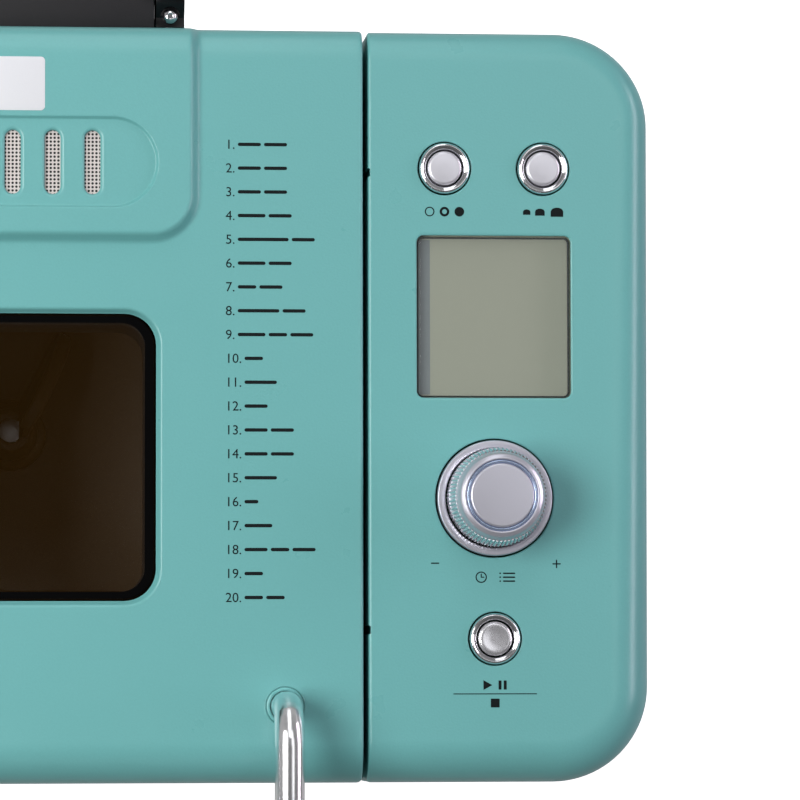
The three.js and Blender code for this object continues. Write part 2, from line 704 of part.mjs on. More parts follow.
// ---- Hinge ----
function buildHinge() {
  const screwSeat = hingeZ + 9.3;
  const profile = new THREE.Shape(); // seen along X: (y, z)
  profile.moveTo(backFace, 247);
  profile.lineTo(135, 245.5);
  profile.absarc(hingeY, hingeZ, knuckleRadius, -Math.PI / 3, Math.PI / 3);
  profile.lineTo(backFace, 266.8);
  const sweep = (shape, x0, x1) =>
    solid(
      new THREE.ExtrudeGeometry(shape, { depth: x1 - x0, bevelEnabled: false, curveSegments: 8 })
        .rotateZ(Math.PI / 2)
        .rotateY(Math.PI / 2)
        .translate(x0, 0, 0),
    );
  const bore = rodX(pinRadius + gap, -60, 60, hingeY, hingeZ, 16);
  const block = sweep(profile, -hingeBlockHalf, hingeBlockHalf).subtract(bore);
  add("hinge_block", block.translate(lidX, 0, 0), darkPlastic);

  const cheek = new THREE.Shape();
  cheek.moveTo(backFace, 200);
  cheek.lineTo(123, 200);
  cheek.lineTo(140, 247.3);
  cheek.absarc(hingeY, hingeZ, knuckleRadius, -Math.PI / 4, 0.75 * Math.PI, false);
  cheek.lineTo(119.2, screwSeat);
  cheek.lineTo(backFace + 0.7, hingeZ + 2);
  cheek.lineTo(backFace, hingeZ - 2);
  const inner = hingeBlockHalf + 2 * gap;
  const screwX = inner + knuckleWidth / 2;
  const screwY = hingeY - 8.5;
  const bracket = sweep(cheek, inner, inner + knuckleWidth)
    .add(sweep(cheek, -inner - knuckleWidth, -inner))
    .add(box(-inner - 1, inner + 1, backFace, backFace + 4, 200, 232))
    .subtract(bore)
    .subtract(disc(3, screwSeat, 270, 16).translate(-screwX, screwY, 0))
    .subtract(disc(3, screwSeat, 270, 16).translate(screwX, screwY, 0));
  add("hinge_bracket", bracket.translate(lidX, 0, 0), blackPlastic);

  const reach = inner + knuckleWidth - 0.5;
  add("hinge_pin", rodX(pinRadius, -reach, reach, hingeY, hingeZ, 14).translate(lidX, 0, 0), steel);
  const screwHead = [[0, gap], [2.35, gap], [2.35, 0.7], [1.5, 1.6], [0, 1.9]];
  for (const [side, x] of [["left", -screwX], ["right", screwX]]) {
    add(`hinge_screw_${side}`, turned(screwHead, 16).translate(lidX + x, screwY, screwSeat), chrome);
  }
}

buildBody();
buildChamber();
buildPan();
buildDrive();
buildControls();
buildLid();
buildHinge();

export default machine;
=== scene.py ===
import bpy
import bmesh
import math
import numpy as np
from mathutils import Matrix, Vector
from mathutils.geometry import delaunay_2d_cdt


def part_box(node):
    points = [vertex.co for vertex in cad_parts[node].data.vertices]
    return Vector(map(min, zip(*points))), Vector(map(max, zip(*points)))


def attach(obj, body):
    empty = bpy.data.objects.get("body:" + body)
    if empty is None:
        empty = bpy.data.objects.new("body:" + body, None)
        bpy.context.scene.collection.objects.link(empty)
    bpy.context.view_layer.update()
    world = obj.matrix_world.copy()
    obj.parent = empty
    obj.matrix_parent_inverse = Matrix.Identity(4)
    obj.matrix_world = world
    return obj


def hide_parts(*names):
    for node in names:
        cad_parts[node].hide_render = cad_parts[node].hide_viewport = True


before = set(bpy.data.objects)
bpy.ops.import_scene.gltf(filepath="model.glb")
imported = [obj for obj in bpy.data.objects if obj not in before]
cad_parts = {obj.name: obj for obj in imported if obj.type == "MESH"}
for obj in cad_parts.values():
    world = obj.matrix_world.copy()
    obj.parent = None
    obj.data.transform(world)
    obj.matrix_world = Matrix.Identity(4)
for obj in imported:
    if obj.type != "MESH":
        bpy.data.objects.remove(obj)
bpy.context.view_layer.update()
print("frame loaded:", len(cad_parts), "nodes")

mm = 0.001  # shapes are worked out in millimetres and made in metres


def cad(node):  # lowest corner, highest corner and middle of a CAD node, in mm
    low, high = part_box(node)
    return low / mm, high / mm, (low + high) / 2 / mm


# ---------- node helpers ----------

def newTree(name, kind, inputs, outputs):
    tree = bpy.data.node_groups.new(name, kind)
    for label, socketType, value in inputs:
        socket = tree.interface.new_socket(name=label, in_out="INPUT", socket_type=socketType)
        if value is not None:
            socket.default_value = value
    for label, socketType in outputs:
        tree.interface.new_socket(name=label, in_out="OUTPUT", socket_type=socketType)
    return tree, tree.nodes.new("NodeGroupInput").outputs, tree.nodes.new("NodeGroupOutput").inputs


def addNode(tree, kind, values=None, **settings):
    node = tree.nodes.new(kind)
    for key, value in settings.items():
        setattr(node, key, value)
    for key, value in (values or {}).items():
        if isinstance(value, bpy.types.NodeSocket):
            tree.links.new(value, node.inputs[key])
        else:
            node.inputs[key].default_value = value
    return node


def maths(tree, operation, first, second=0.5, third=0.5):
    values = {0: first, 1: second, 2: third}
    return addNode(tree, "ShaderNodeMath", values, operation=operation).outputs[0]


def objectPlace(tree):
    return addNode(tree, "ShaderNodeTexCoord").outputs["Object"]


def noise(tree, place, scale, detail):
    return addNode(tree, "ShaderNodeTexNoise", {"Vector": place, "Scale": scale, "Detail": detail}).outputs[0]


def vary(tree, pattern, amount, base):  # base plus a pattern centred on zero
    return maths(tree, "MULTIPLY_ADD", maths(tree, "SUBTRACT", pattern, 0.5), amount, base)


def vectorMath(tree, operation, first, second):
    return addNode(tree, "ShaderNodeVectorMath", {0: first, 1: second}, operation=operation).outputs[0]


def giveSurface(tree, made, color, shade, rough, height):
    shaded = addNode(tree, "ShaderNodeVectorMath", {0: color}, operation="SCALE")
    tree.links.new(shade, shaded.inputs["Scale"])
    for value, socket in zip((shaded.outputs[0], rough, height), made):
        tree.links.new(value, socket)
    return tree


# ---------- shader groups: colour, roughness and height; the wear group gives colour and roughness ---

surfaceOutputs = [("Color", "NodeSocketColor"), ("Roughness", "NodeSocketFloat"), ("Height", "NodeSocketFloat")]


def makeGrainGroup():  # moulded or coated surface: fine pimples, a slow drift of tone, faint handling marks
    tree, given, made = newTree("mouldedGrain", "ShaderNodeTree", [
        ("Tone", "NodeSocketColor", (0.5, 0.5, 0.5, 1)),
        ("Grain per metre", "NodeSocketFloat", 1500),
        ("Speckle", "NodeSocketFloat", 0.08),
        ("Drift", "NodeSocketFloat", 0.05),
        ("Rough", "NodeSocketFloat", 0.5),
        ("Rough spread", "NodeSocketFloat", 0.1),
    ], surfaceOutputs)
    place = objectPlace(tree)
    grain = noise(tree, place, given["Grain per metre"], 3.0)
    slow, marks = noise(tree, place, 9.0, 2.0), noise(tree, place, 60.0, 6.0)
    shade = vary(tree, slow, given["Drift"], vary(tree, grain, given["Speckle"], 1.0))
    rough = vary(tree, marks, given["Rough spread"], given["Rough"])
    return giveSurface(tree, made, given["Tone"], shade, rough, grain)


def makeBrushedGroup():  # drawn or rolled metal: long fine lines along one axis
    tree, given, made = newTree("brushedMetal", "ShaderNodeTree", [
        ("Tone", "NodeSocketColor", (0.6, 0.6, 0.6, 1)),
        ("Line stretch", "NodeSocketVector", (30, 1800, 1800)),
        ("Contrast", "NodeSocketFloat", 0.15),
        ("Rough", "NodeSocketFloat", 0.35),
        ("Rough spread", "NodeSocketFloat", 0.15),
    ], surfaceOutputs)
    place = objectPlace(tree)
    stainAmount = 0.12
    lines = noise(tree, vectorMath(tree, "MULTIPLY", place, given["Line stretch"]), 1.0, 4.0)
    stain = noise(tree, place, 35.0, 5.0)
    shade = vary(tree, stain, stainAmount, vary(tree, lines, given["Contrast"], 1.0))
    both = maths(tree, "ADD", maths(tree, "SUBTRACT", stain, 0.5), maths(tree, "SUBTRACT", lines, 0.5))
    rough = maths(tree, "MULTIPLY_ADD", both, given["Rough spread"], given["Rough"])
    return giveSurface(tree, made, given["Tone"], shade, rough, lines)


def makeSpunGroup():  # faced on a lathe: fine rings round a centre
    tree, given, made = newTree("spunMetal", "ShaderNodeTree", [
        ("Tone", "NodeSocketColor", (0.7, 0.7, 0.74, 1)),
        ("Centre", "NodeSocketVector", (0, 0, 0)),
        ("Rings per metre", "NodeSocketFloat", 5000),
        ("Contrast", "NodeSocketFloat", 0.1),
        ("Rough", "NodeSocketFloat", 0.3),
        ("Rough spread", "NodeSocketFloat", 0.1),
    ], surfaceOutputs)
    place = objectPlace(tree)
    flat = vectorMath(tree, "MULTIPLY", vectorMath(tree, "SUBTRACT", place, given["Centre"]), (1, 1, 0))
    radius = addNode(tree, "ShaderNodeVectorMath", {0: flat}, operation="LENGTH").outputs["Value"]
    along = maths(tree, "MULTIPLY", radius, given["Rings per metre"])
    rings = addNode(tree, "ShaderNodeTexNoise", {"W": along, "Scale": 1.0}, noise_dimensions="1D").outputs[0]
    shade = vary(tree, rings, given["Contrast"], 1.0)
    rough = vary(tree, noise(tree, place, 120.0, 4.0), given["Rough spread"], given["Rough"])
    return giveSurface(tree, made, given["Tone"], shade, rough, rings)


def makeWearGroup():  # rubbed outer edges: another tone and a smoother face, broken up by a noise
    tree, given, made = newTree("edgeWear", "ShaderNodeTree", [
        ("Color", "NodeSocketColor", (0.5, 0.5, 0.5, 1)),
        ("Roughness", "NodeSocketFloat", 0.5),
        ("Worn tone", "NodeSocketColor", (0.7, 0.7, 0.7, 1)),
        ("Worn rough", "NodeSocketFloat", 0.3),
        ("Amount", "NodeSocketFloat", 0.3),
    ], [("Color", "NodeSocketColor"), ("Roughness", "NodeSocketFloat")])
    sharp = addNode(tree, "ShaderNodeNewGeometry").outputs["Pointiness"]
    patchy = noise(tree, objectPlace(tree), 260.0, 4.0)
    edge = addNode(tree, "ShaderNodeMapRange", {"Value": sharp, "From Min": 0.57, "From Max": 0.67}).outputs[0]
    mask = maths(tree, "MULTIPLY", maths(tree, "MULTIPLY", edge, patchy), given["Amount"])
    blend = addNode(tree, "ShaderNodeMix", {0: mask, 6: given[0], 7: given["Worn tone"]}, data_type="RGBA")
    tree.links.new(blend.outputs[2], made[0])
    smooth = addNode(tree, "ShaderNodeMix", {0: mask, 2: given[1], 3: given["Worn rough"]})
    tree.links.new(smooth.outputs[0], made[1])
    return tree


grainGroup = makeGrainGroup()
brushedGroup = makeBrushedGroup()
spunGroup = makeSpunGroup()
wearGroup = makeWearGroup()


def surface(name, group, values, bump, depth=0.0001, wear=0.25, worn=1.6, **shader):
    material = bpy.data.materials.new(name)
    material.use_nodes = True
    tree = material.node_tree
    bsdf = tree.nodes["Principled BSDF"]
    base = addNode(tree, "ShaderNodeGroup", node_tree=group)
    for label, value in values.items():
        base.inputs[label].default_value = value
    relief = addNode(tree, "ShaderNodeBump", {
        "Strength": bump, "Distance": depth, "Height": base.outputs["Height"]})
    rubbed = addNode(tree, "ShaderNodeGroup", node_tree=wearGroup)
    wornTone = [min(0.9, channel * worn + 0.01) for channel in values["Tone"][:3]] + [1]
    for label, value in (("Worn tone", wornTone), ("Worn rough", values["Rough"] * 0.7), ("Amount", wear)):
        rubbed.inputs[label].default_value = value
    for label in ("Color", "Roughness"):
        tree.links.new(base.outputs[label], rubbed.inputs[label])
    tree.links.new(rubbed.outputs["Color"], bsdf.inputs["Base Color"])
    tree.links.new(rubbed.outputs["Roughness"], bsdf.inputs["Roughness"])
    tree.links.new(relief.outputs[0], bsdf.inputs["Normal"])
    for label, value in shader.items():
        bsdf.inputs[label.replace("_", " ")].default_value = value
    return material


def tone(red, green, blue):
    return (red, green, blue, 1)


def grained(name, color, grain, speckle, rough, spread, bump, depth=0.0001, drift=0.05, **more):
    values = {"Tone": tone(*color), "Grain per metre": grain, "Speckle": speckle, "Drift": drift, "Rough": rough,
              "Rough spread": spread}
    return surface(name, grainGroup, values, bump, depth, **more)


def brushed(name, color, stretch, contrast, rough, spread, bump, depth=0.0001, metallic=1, **more):
    values = {"Tone": tone(*color), "Line stretch": stretch, "Contrast": contrast, "Rough": rough,
              "Rough spread": spread}
    return surface(name, brushedGroup, values, bump, depth, Metallic=metallic, **more)


def spun(name, color, centre, rings, contrast, rough, spread, bump, depth, metallic):
    values = {"Tone": tone(*color), "Centre": centre, "Rings per metre": rings, "Contrast": contrast,
              "Rough": rough, "Rough spread": spread}
    return surface(name, spunGroup, values, bump, depth, Metallic=metallic)


teal = (0.152, 0.438, 0.436)
satin = (0.61, 0.61, 0.69)
chrome = (0.78, 0.78, 0.81)
partMiddle = (0, 0, 0)
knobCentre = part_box("knob_ring")[0].lerp(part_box("knob_ring")[1], 0.5)

# grained: colour, grain per metre, speckle, roughness, its spread, bump strength, bump depth in metres
tealPlastic = grained("tealPlastic", teal, 1500, 0.09, 0.29, 0.08, 0.42, 0.00008, wear=0.1, worn=1.2,
                      Specular_IOR_Level=0.5)
tealPaint = grained("tealPaint", teal, 1150, 0.05, 0.42, 0.1, 0.25, 0.00008, 0.07, Specular_IOR_Level=0.45)
hingePlastic = grained("hingePlastic", (0.012, 0.0115, 0.0135), 2600, 0.35, 0.62, 0.12, 0.5, 0.00008,
                       Specular_IOR_Level=0.36)
glossPlastic = grained("glossPlastic", (0.004, 0.004, 0.005), 700, 0.2, 0.22, 0.18, 0.06, 0.00005,
                       Specular_IOR_Level=0.3)
borderBlack = grained("borderBlack", (0.002, 0.002, 0.0022), 900, 0.3, 0.3, 0.1, 0.04, 0.00003, wear=0,
                      Specular_IOR_Level=0.03)
innerPlastic = grained("innerPlastic", (0.014, 0.014, 0.015), 2200, 0.3, 0.58, 0.14, 0.4, 0.00008)
footRubber = grained("footRubber", (0.012, 0.012, 0.012), 1800, 0.4, 0.85, 0.15, 0.6)
sealSilicone = grained("sealSilicone", (0.22, 0.22, 0.23), 1300, 0.15, 0.55, 0.2, 0.25)
panCoating = grained("panCoating", (0.16, 0.1, 0.048), 2400, 0.7, 0.4, 0.2, 0.35, 0.00006, Specular_IOR_Level=0.6)
boardMask = grained("boardMask", (0.02, 0.12, 0.055), 900, 0.3, 0.35, 0.15, 0.15, 0.00006)
blankLabel = grained("blankLabel", (0.74, 0.76, 0.8), 1900, 0.03, 0.38, 0.1, 0.08, 0.00003)
printInk = grained("printInk", (0.004, 0.007, 0.008), 3000, 0.5, 0.6, 0.1, 0.1, 0.00002, wear=0,
                   Specular_IOR_Level=0.15)
satinCap = grained("satinCap", (0.7, 0.7, 0.76), 4000, 0.04, 0.36, 0.08, 0.08, 0.00003, Metallic=0.6)
castAlloy = grained("castAlloy", (0.5, 0.5, 0.51), 1400, 0.2, 0.45, 0.15, 0.4, Metallic=1)
sinteredBronze = grained("sinteredBronze", (0.42, 0.24, 0.1), 3000, 0.5, 0.4, 0.15, 0.4, Metallic=1)
clearLens = grained("clearLens", (0.2, 0.22, 0.22), 300, 0.02, 0.08, 0.05, 0.01, 0.00002, wear=0, Alpha=0.16,
                    Specular_IOR_Level=0.45)
smokedGlass = grained("smokedGlass", (0.055, 0.027, 0.005), 120, 0.05, 0.05, 0.06, 0.01, 0.00002, wear=0,
                      Alpha=0.13, Specular_IOR_Level=0.03)
displayFace = grained("displayFace", (0.465, 0.498, 0.385), 2500, 0.04, 0.4, 0.05, 0.03, 0.00002, wear=0)
# painted shadow: a darker bluish tone for the strip along the display's left edge, standing in for the shadow of the
# frame's side wall
displayShade = grained("displayShade", (0.24, 0.285, 0.295), 2500, 0.04, 0.3, 0.05, 0.03, 0.00002)

# spun: colour, centre, rings per metre, contrast, roughness, its spread, bump strength, bump depth, metallic
chromePlate = spun("chromePlate", chrome, partMiddle, 900, 0.02, 0.09, 0.06, 0.02, 0.00002, 1)
knobSatin = spun("knobSatin", satin, knobCentre, 6500, 0.07, 0.34, 0.08, 0.12, 0.00003, 0.7)
knobPolish = spun("knobPolish", (0.86, 0.86, 0.9), knobCentre, 3000, 0.05, 0.17, 0.08, 0.05, 0.00003, 0.95)
startCap = spun("startCap", (0.76, 0.76, 0.8), partMiddle, 2500, 0.03, 0.24, 0.08, 0.03, 0.00003, 0.8)
knobBlue = spun("knobBlue", (0.42, 0.51, 0.69), knobCentre, 4000, 0.05, 0.2, 0.08, 0.05, 0.00003, 0.85)

# brushed: colour, line stretch, contrast, roughness, its spread, bump strength
handleChrome = brushed("handleChrome", (0.93, 0.93, 0.95), (500, 500, 500), 0.04, 0.2, 0.08, 0.03, 0.00003, worn=1)
ventMetal = brushed("ventMetal", (0.74, 0.69, 0.67), (60, 1500, 1500), 0.1, 0.42, 0.15, 0.1, metallic=0.5)
drawnSteel = brushed("drawnSteel", (0.55, 0.55, 0.56), (1500, 1500, 40), 0.15, 0.35, 0.15, 0.12)
rolledSheet = brushed("rolledSheet", (0.42, 0.43, 0.44), (40, 900, 900), 0.2, 0.42, 0.2, 0.15)
heaterSheath = brushed("heaterSheath", (0.16, 0.15, 0.15), (400, 400, 400), 0.5, 0.5, 0.3, 0.3, metallic=0.8)
print("materials made")


# ---------- mesh helpers ----------

def meshPiece(name, points, faces, material, sharpAngle=38, weld=0.0005):
    mesh = bpy.data.meshes.new(name)
    mesh.from_pydata([tuple(c * mm for c in p) for p in points], [], [tuple(f) for f in faces])
    shape = bmesh.new()
    shape.from_mesh(mesh)
    bmesh.ops.remove_doubles(shape, verts=shape.verts, dist=weld * mm)
    loose = [v for v in shape.verts if not v.link_faces]
    bmesh.ops.delete(shape, geom=loose, context="VERTS")
    bmesh.ops.recalc_face_normals(shape, faces=shape.faces)
    shape.to_mesh(mesh)
    shape.free()
    mesh.materials.append(material)
    piece = bpy.data.objects.new(name, mesh)
    bpy.context.scene.collection.objects.link(piece)
    smoothOver(piece, sharpAngle)
    return piece


def smoothOver(piece, sharpAngle=38):
    piece.data.polygons.foreach_set("use_smooth", [True] * len(piece.data.polygons))
    piece.data.set_sharp_from_angle(angle=math.radians(sharpAngle))


def settle(piece):  # turns live modifiers into plain mesh
    graph = bpy.context.evaluated_depsgraph_get()
    made = bpy.data.meshes.new_from_object(piece.evaluated_get(graph))
    old = piece.data
    piece.modifiers.clear()
    piece.data = made
    made.name = piece.name
    bpy.data.meshes.remove(old)
    smoothOver(piece)
    return piece


def hand(piece, body, slot, *nodes):
    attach(piece, body)
    if nodes:
        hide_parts(*nodes)
    return piece


def roundedLoop(low, high, radii, steps=8):  # anticlockwise; radii from the low corner round
    corners = [(low[0], low[1], 180), (high[0], low[1], 270), (high[0], high[1], 0), (low[0], high[1], 90)]
    loop = []
    for (x, y, start), radius in zip(corners, radii):
        middleX = x + radius * (1 if x == low[0] else -1)
        middleY = y + radius * (1 if y == low[1] else -1)
        for i in range(steps + 1):
            angle = math.radians(start + 90 * i / steps)
            loop.append((middleX + radius * math.cos(angle), middleY + radius * math.sin(angle)))
    return loop


def rectLoop(middle, halfX, halfY, radius, steps=8):
    low = (middle[0] - halfX, middle[1] - halfY)
    return roundedLoop(low, (middle[0] + halfX, middle[1] + halfY), [radius] * 4, steps)


def circleLoop(middle, radius, count=48):
    angles = [2 * math.pi * i / count for i in range(count)]
    return [(middle[0] + radius * math.cos(a), middle[1] + radius * math.sin(a)) for a in angles]


def boxDistance(x, y, middle, halfX, halfY, radius):  # negative inside a rounded rectangle
    qx = np.abs(x - middle[0]) - halfX + radius
    qy = np.abs(y - middle[1]) - halfY + radius
    return np.hypot(np.maximum(qx, 0), np.maximum(qy, 0)) + np.minimum(np.maximum(qx, qy), 0) - radius


def easing(value):  # 0 to 1 with a level start and end
    t = np.clip(value, 0, 1)
    return t * t * t * (t * (6 * t - 15) + 10)


def edgeDrop(inset, radius):  # how far a rounded edge lies below its top, that far in from the side
    left = radius - np.clip(inset, 0, radius)
    return radius - np.sqrt(np.maximum(radius * radius - left * left, 0))


def insideLoop(x, y, loop):
    inside = np.zeros(len(x), bool)
    x0, y0 = loop[-1]
    for x1, y1 in loop:
        if y1 != y0:
            inside ^= ((y0 > y) != (y1 > y)) & (x < (x1 - x0) * (y - y0) / (y1 - y0) + x0)
        x0, y0 = x1, y1
    return inside


def skinPiece(name, outline, holes, guides, heightAt, material, skirt=(), wall=2.2, place=None):
    # a sheet over the outline, cut by the holes, lifted by heightAt, with a skirt and a wall thickness
    coords, edges = [], []
    loops = [(outline, True)] + [(hole, True) for hole in holes] + guides
    for points, closed in loops:
        first = len(coords)
        coords += [Vector(p) for p in points]
        edges += [(first + i, first + i + 1) for i in range(len(points) - 1)]
        if closed:
            edges.append((len(coords) - 1, first))
    made = delaunay_2d_cdt(coords, edges, [], 0, 1e-4)
    flat = np.array([tuple(v) for v in made[0]])
    faces = np.array([f for f in made[2] if len(f) == 3])
    middle = flat[faces].mean(axis=1)
    keep = insideLoop(middle[:, 0], middle[:, 1], outline)
    for hole in holes:
        keep &= ~insideLoop(middle[:, 0], middle[:, 1], hole)
    faces = faces[keep]
    a, b, c = flat[faces[:, 0]], flat[faces[:, 1]], flat[faces[:, 2]]
    area = (b[:, 0] - a[:, 0]) * (c[:, 1] - a[:, 1]) - (b[:, 1] - a[:, 1]) * (c[:, 0] - a[:, 0])
    faces[area < 0] = faces[area < 0][:, ::-1]
    faces = faces[np.abs(area) > 1e-9].tolist()
    heights = heightAt(flat[:, 0], flat[:, 1])
    points = [(x, y, h) for (x, y), h in zip(flat.tolist(), heights.tolist())]
    if skirt:
        directed = {(f[i], f[(i + 1) % 3]) for f in faces for i in range(3)}
        holeSpots = {(round(x, 2), round(y, 2)) for hole in holes for x, y in hole}
        rim = [(i, j) for i, j in directed if (j, i) not in directed
               and (round(flat[i][0], 2), round(flat[i][1], 2)) not in holeSpots]
        outward = {}
        for i, j in rim:
            step = (flat[j] - flat[i]) / max(np.hypot(*(flat[j] - flat[i])), 1e-9)
            for k in (i, j):
                outward[k] = outward.get(k, np.zeros(2)) + np.array([step[1], -step[0]])
        above = {k: k for k in outward}
        for level, inset in skirt:
            below = {}
            for k, way in outward.items():
                spot = flat[k] - inset * way / max(np.hypot(*way), 1e-9)
                below[k] = len(points)
                points.append((spot[0], spot[1], level))
            for i, j in rim:
                faces.append((above[j], above[i], below[i], below[j]))
            above = below
    if place:
        points = [place(*p) for p in points]
    piece = meshPiece(name, points, faces, material)
    solid = piece.modifiers.new("wall", "SOLIDIFY")
    solid.thickness = wall * mm
    solid.offset = -1
    solid.use_even_offset = False
    return settle(piece)


def softProfile(corners, steps=4):  # each corner is (radius, z) or (radius, z, rounding)
    soft = []
    count = len(corners)
    for i, corner in enumerate(corners):
        here = Vector(corner[:2])
        rounding = corner[2] if len(corner) > 2 else 0
        if not rounding or i in (0, count - 1):
            soft.append(tuple(here))
            continue
        back = Vector(corners[i - 1][:2]) - here
        on = Vector(corners[i + 1][:2]) - here
        start = here + back.normalized() * min(rounding, back.length * 0.49)
        end = here + on.normalized() * min(rounding, on.length * 0.49)
        for k in range(steps + 1):
            t = k / steps
            soft.append(tuple(start * (1 - t) ** 2 + here * 2 * t * (1 - t) + end * t * t))
    return soft


def turnedPiece(name, corners, centre, material, sides=64):
    profile = softProfile(corners)
    points, faces, rings = [], [], []
    for radius, z in profile:
        if radius < 1e-6:
            rings.append([len(points)] * sides)
            points.append((centre[0], centre[1], centre[2] + z))
            continue
        rings.append(list(range(len(points), len(points) + sides)))
        for i in range(sides):
            angle = 2 * math.pi * i / sides
            spot = (centre[0] + radius * math.cos(angle), centre[1] + radius * math.sin(angle))
            points.append((*spot, centre[2] + z))
    for low, high in zip(rings, rings[1:]):
        for i in range(sides):
            j = (i + 1) % sides
            face = list(dict.fromkeys([low[i], low[j], high[j], high[i]]))
            if len(face) > 2:
                faces.append(face)
    return meshPiece(name, points, faces, material)


def loftPiece(name, middle, rings, material, steps, sharpAngle=38, closed=False):
    # rings of rounded rectangles (halfX, halfY, radius, z); the ends are capped, or joined if closed
    points, faces, loops = [], [], []
    for halfX, halfY, radius, z in rings:
        loop = rectLoop(middle, halfX, halfY, radius, steps)
        loops.append(list(range(len(points), len(points) + len(loop))))
        points += [(x, y, z) for x, y in loop]
    pairs = list(zip(loops, loops[1:])) + ([(loops[-1], loops[0])] if closed else [])
    for low, high in pairs:
        count = len(low)
        faces += [(low[i], low[(i + 1) % count], high[(i + 1) % count], high[i]) for i in range(count)]
    if not closed:
        faces += [loops[0][::-1], loops[-1]]
    return meshPiece(name, points, faces, material, sharpAngle)


def insetRings(halfX, halfY, steps):  # each step is (inset, corner radius, z)
    return [(halfX - inset, halfY - inset, radius, z) for inset, radius, z in steps]


def softened(node, material, body, slot, width=0.4):
    # a carried-over part: a merged copy of its mesh with its edges broken
    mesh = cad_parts[node].data.copy()
    mesh.name = node + "_soft"
    shape = bmesh.new()
    shape.from_mesh(mesh)
    bmesh.ops.remove_doubles(shape, verts=shape.verts, dist=0.00002)
    bmesh.ops.dissolve_limit(shape, angle_limit=math.radians(1), verts=shape.verts, edges=shape.edges)
    edges = [e for e in shape.edges if len(e.link_faces) == 2 and e.calc_face_angle(0) > math.radians(34)]
    if width:
        bmesh.ops.bevel(shape, geom=edges, offset=width * mm, segments=2, profile=0.5, affect="EDGES",
                        clamp_overlap=True)
    shape.to_mesh(mesh)
    shape.free()
    mesh.materials.clear()
    mesh.materials.append(material)
    piece = bpy.data.objects.new(node + "_soft", mesh)
    bpy.context.scene.collection.objects.link(piece)
    smoothOver(piece, 30)
    return hand(piece, body, slot, node)


def slab(loop, low, high):  # points and faces of an upright prism on a loop
    count = len(loop)
    points = [(x, y, low) for x, y in loop] + [(x, y, high) for x, y in loop]
    faces = [(i, (i + 1) % count, (i + 1) % count + count, i + count) for i in range(count)]
    return points, faces + [tuple(range(count))[::-1], tuple(range(count, 2 * count))]


def slabsPiece(name, slabs, material):
    points, faces = [], []
    for somePoints, someFaces in slabs:
        first = len(points)
        points += somePoints
        faces += [tuple(first + i for i in f) for f in someFaces]
    return meshPiece(name, points, faces, material, weld=0)


# ---------- geometry node trees ----------

def setInputs(modifier, values):
    for item in modifier.node_group.interface.items_tree:
        if item.in_out == "INPUT" and item.name in values:
            modifier[item.identifier] = values[item.name]


def giveGeometry(tree, made, shape, finish):  # realized, painted and put out
    whole = addNode(tree, "GeometryNodeRealizeInstances", {0: shape}).outputs[0]
    painted = addNode(tree, "GeometryNodeSetMaterial", {"Geometry": whole, "Material": finish}).outputs[0]
    tree.links.new(painted, made[0])
    return tree


def onPoints(tree, values):
    return addNode(tree, "GeometryNodeInstanceOnPoints", values).outputs[0]


def makeRodTree():  # a round bar along a path whose corners are rounded
    tree, given, made = newTree("roundBar", "GeometryNodeTree", [
        ("Path", "NodeSocketGeometry", None), ("Radius", "NodeSocketFloat", 0.004),
        ("Bend radius", "NodeSocketFloat", 0.012), ("Sides", "NodeSocketInt", 32),
        ("Bend steps", "NodeSocketInt", 12), ("Finish", "NodeSocketMaterial", None),
    ], [("Bar", "NodeSocketGeometry")])
    curve = addNode(tree, "GeometryNodeMeshToCurve", {0: given[0]}).outputs[0]
    bent = addNode(tree, "GeometryNodeFilletCurve")
    for socket, value in zip(bent.inputs, (curve, given["Bend steps"], given["Bend radius"])):
        tree.links.new(value, socket)
    bent.inputs["Limit Radius"].default_value = True
    section = addNode(tree, "GeometryNodeCurvePrimitiveCircle", {"Resolution": given[3], "Radius": given[1]})
    bar = addNode(tree, "GeometryNodeCurveToMesh", {"Curve": bent.outputs[0], "Profile Curve": section.outputs[0],
                                                    "Fill Caps": True}).outputs[0]
    return giveGeometry(tree, made, bar, given["Finish"])


def makeRibTree():  # upright ribs spread round a circle
    tree, given, made = newTree("ribRing", "GeometryNodeTree", [
        ("Geometry", "NodeSocketGeometry", None), ("Count", "NodeSocketInt", 100),
        ("Ring radius", "NodeSocketFloat", 0.015), ("Rib radius", "NodeSocketFloat", 0.0004),
        ("Rib height", "NodeSocketFloat", 0.006), ("Tilt", "NodeSocketFloat", 0.0),
        ("Centre", "NodeSocketVector", (0, 0, 0)), ("Finish", "NodeSocketMaterial", None),
    ], [("Ribs", "NodeSocketGeometry")])
    ring = addNode(tree, "GeometryNodeMeshCircle", {"Vertices": given["Count"], "Radius": given["Ring radius"]})
    rib = addNode(tree, "GeometryNodeMeshCylinder", {
        "Vertices": 6, "Radius": given["Rib radius"], "Depth": given["Rib height"]}).outputs[0]
    spot = addNode(tree, "GeometryNodeInputPosition").outputs[0]
    facing = addNode(tree, "FunctionNodeAlignEulerToVector", {"Vector": spot}, axis="X").outputs[0]
    lean = addNode(tree, "ShaderNodeCombineXYZ", {1: given["Tilt"]}).outputs[0]
    turn = addNode(tree, "FunctionNodeRotateEuler", {0: facing}, space="LOCAL")
    tree.links.new(lean, turn.inputs["Rotate By"])
    many = onPoints(tree, {"Points": ring.outputs[0], "Instance": rib, "Rotation": turn.outputs[0]})
    moved = addNode(tree, "GeometryNodeTransform", {"Geometry": many, "Translation": given["Centre"]}).outputs[0]
    return giveGeometry(tree, made, moved, given["Finish"])


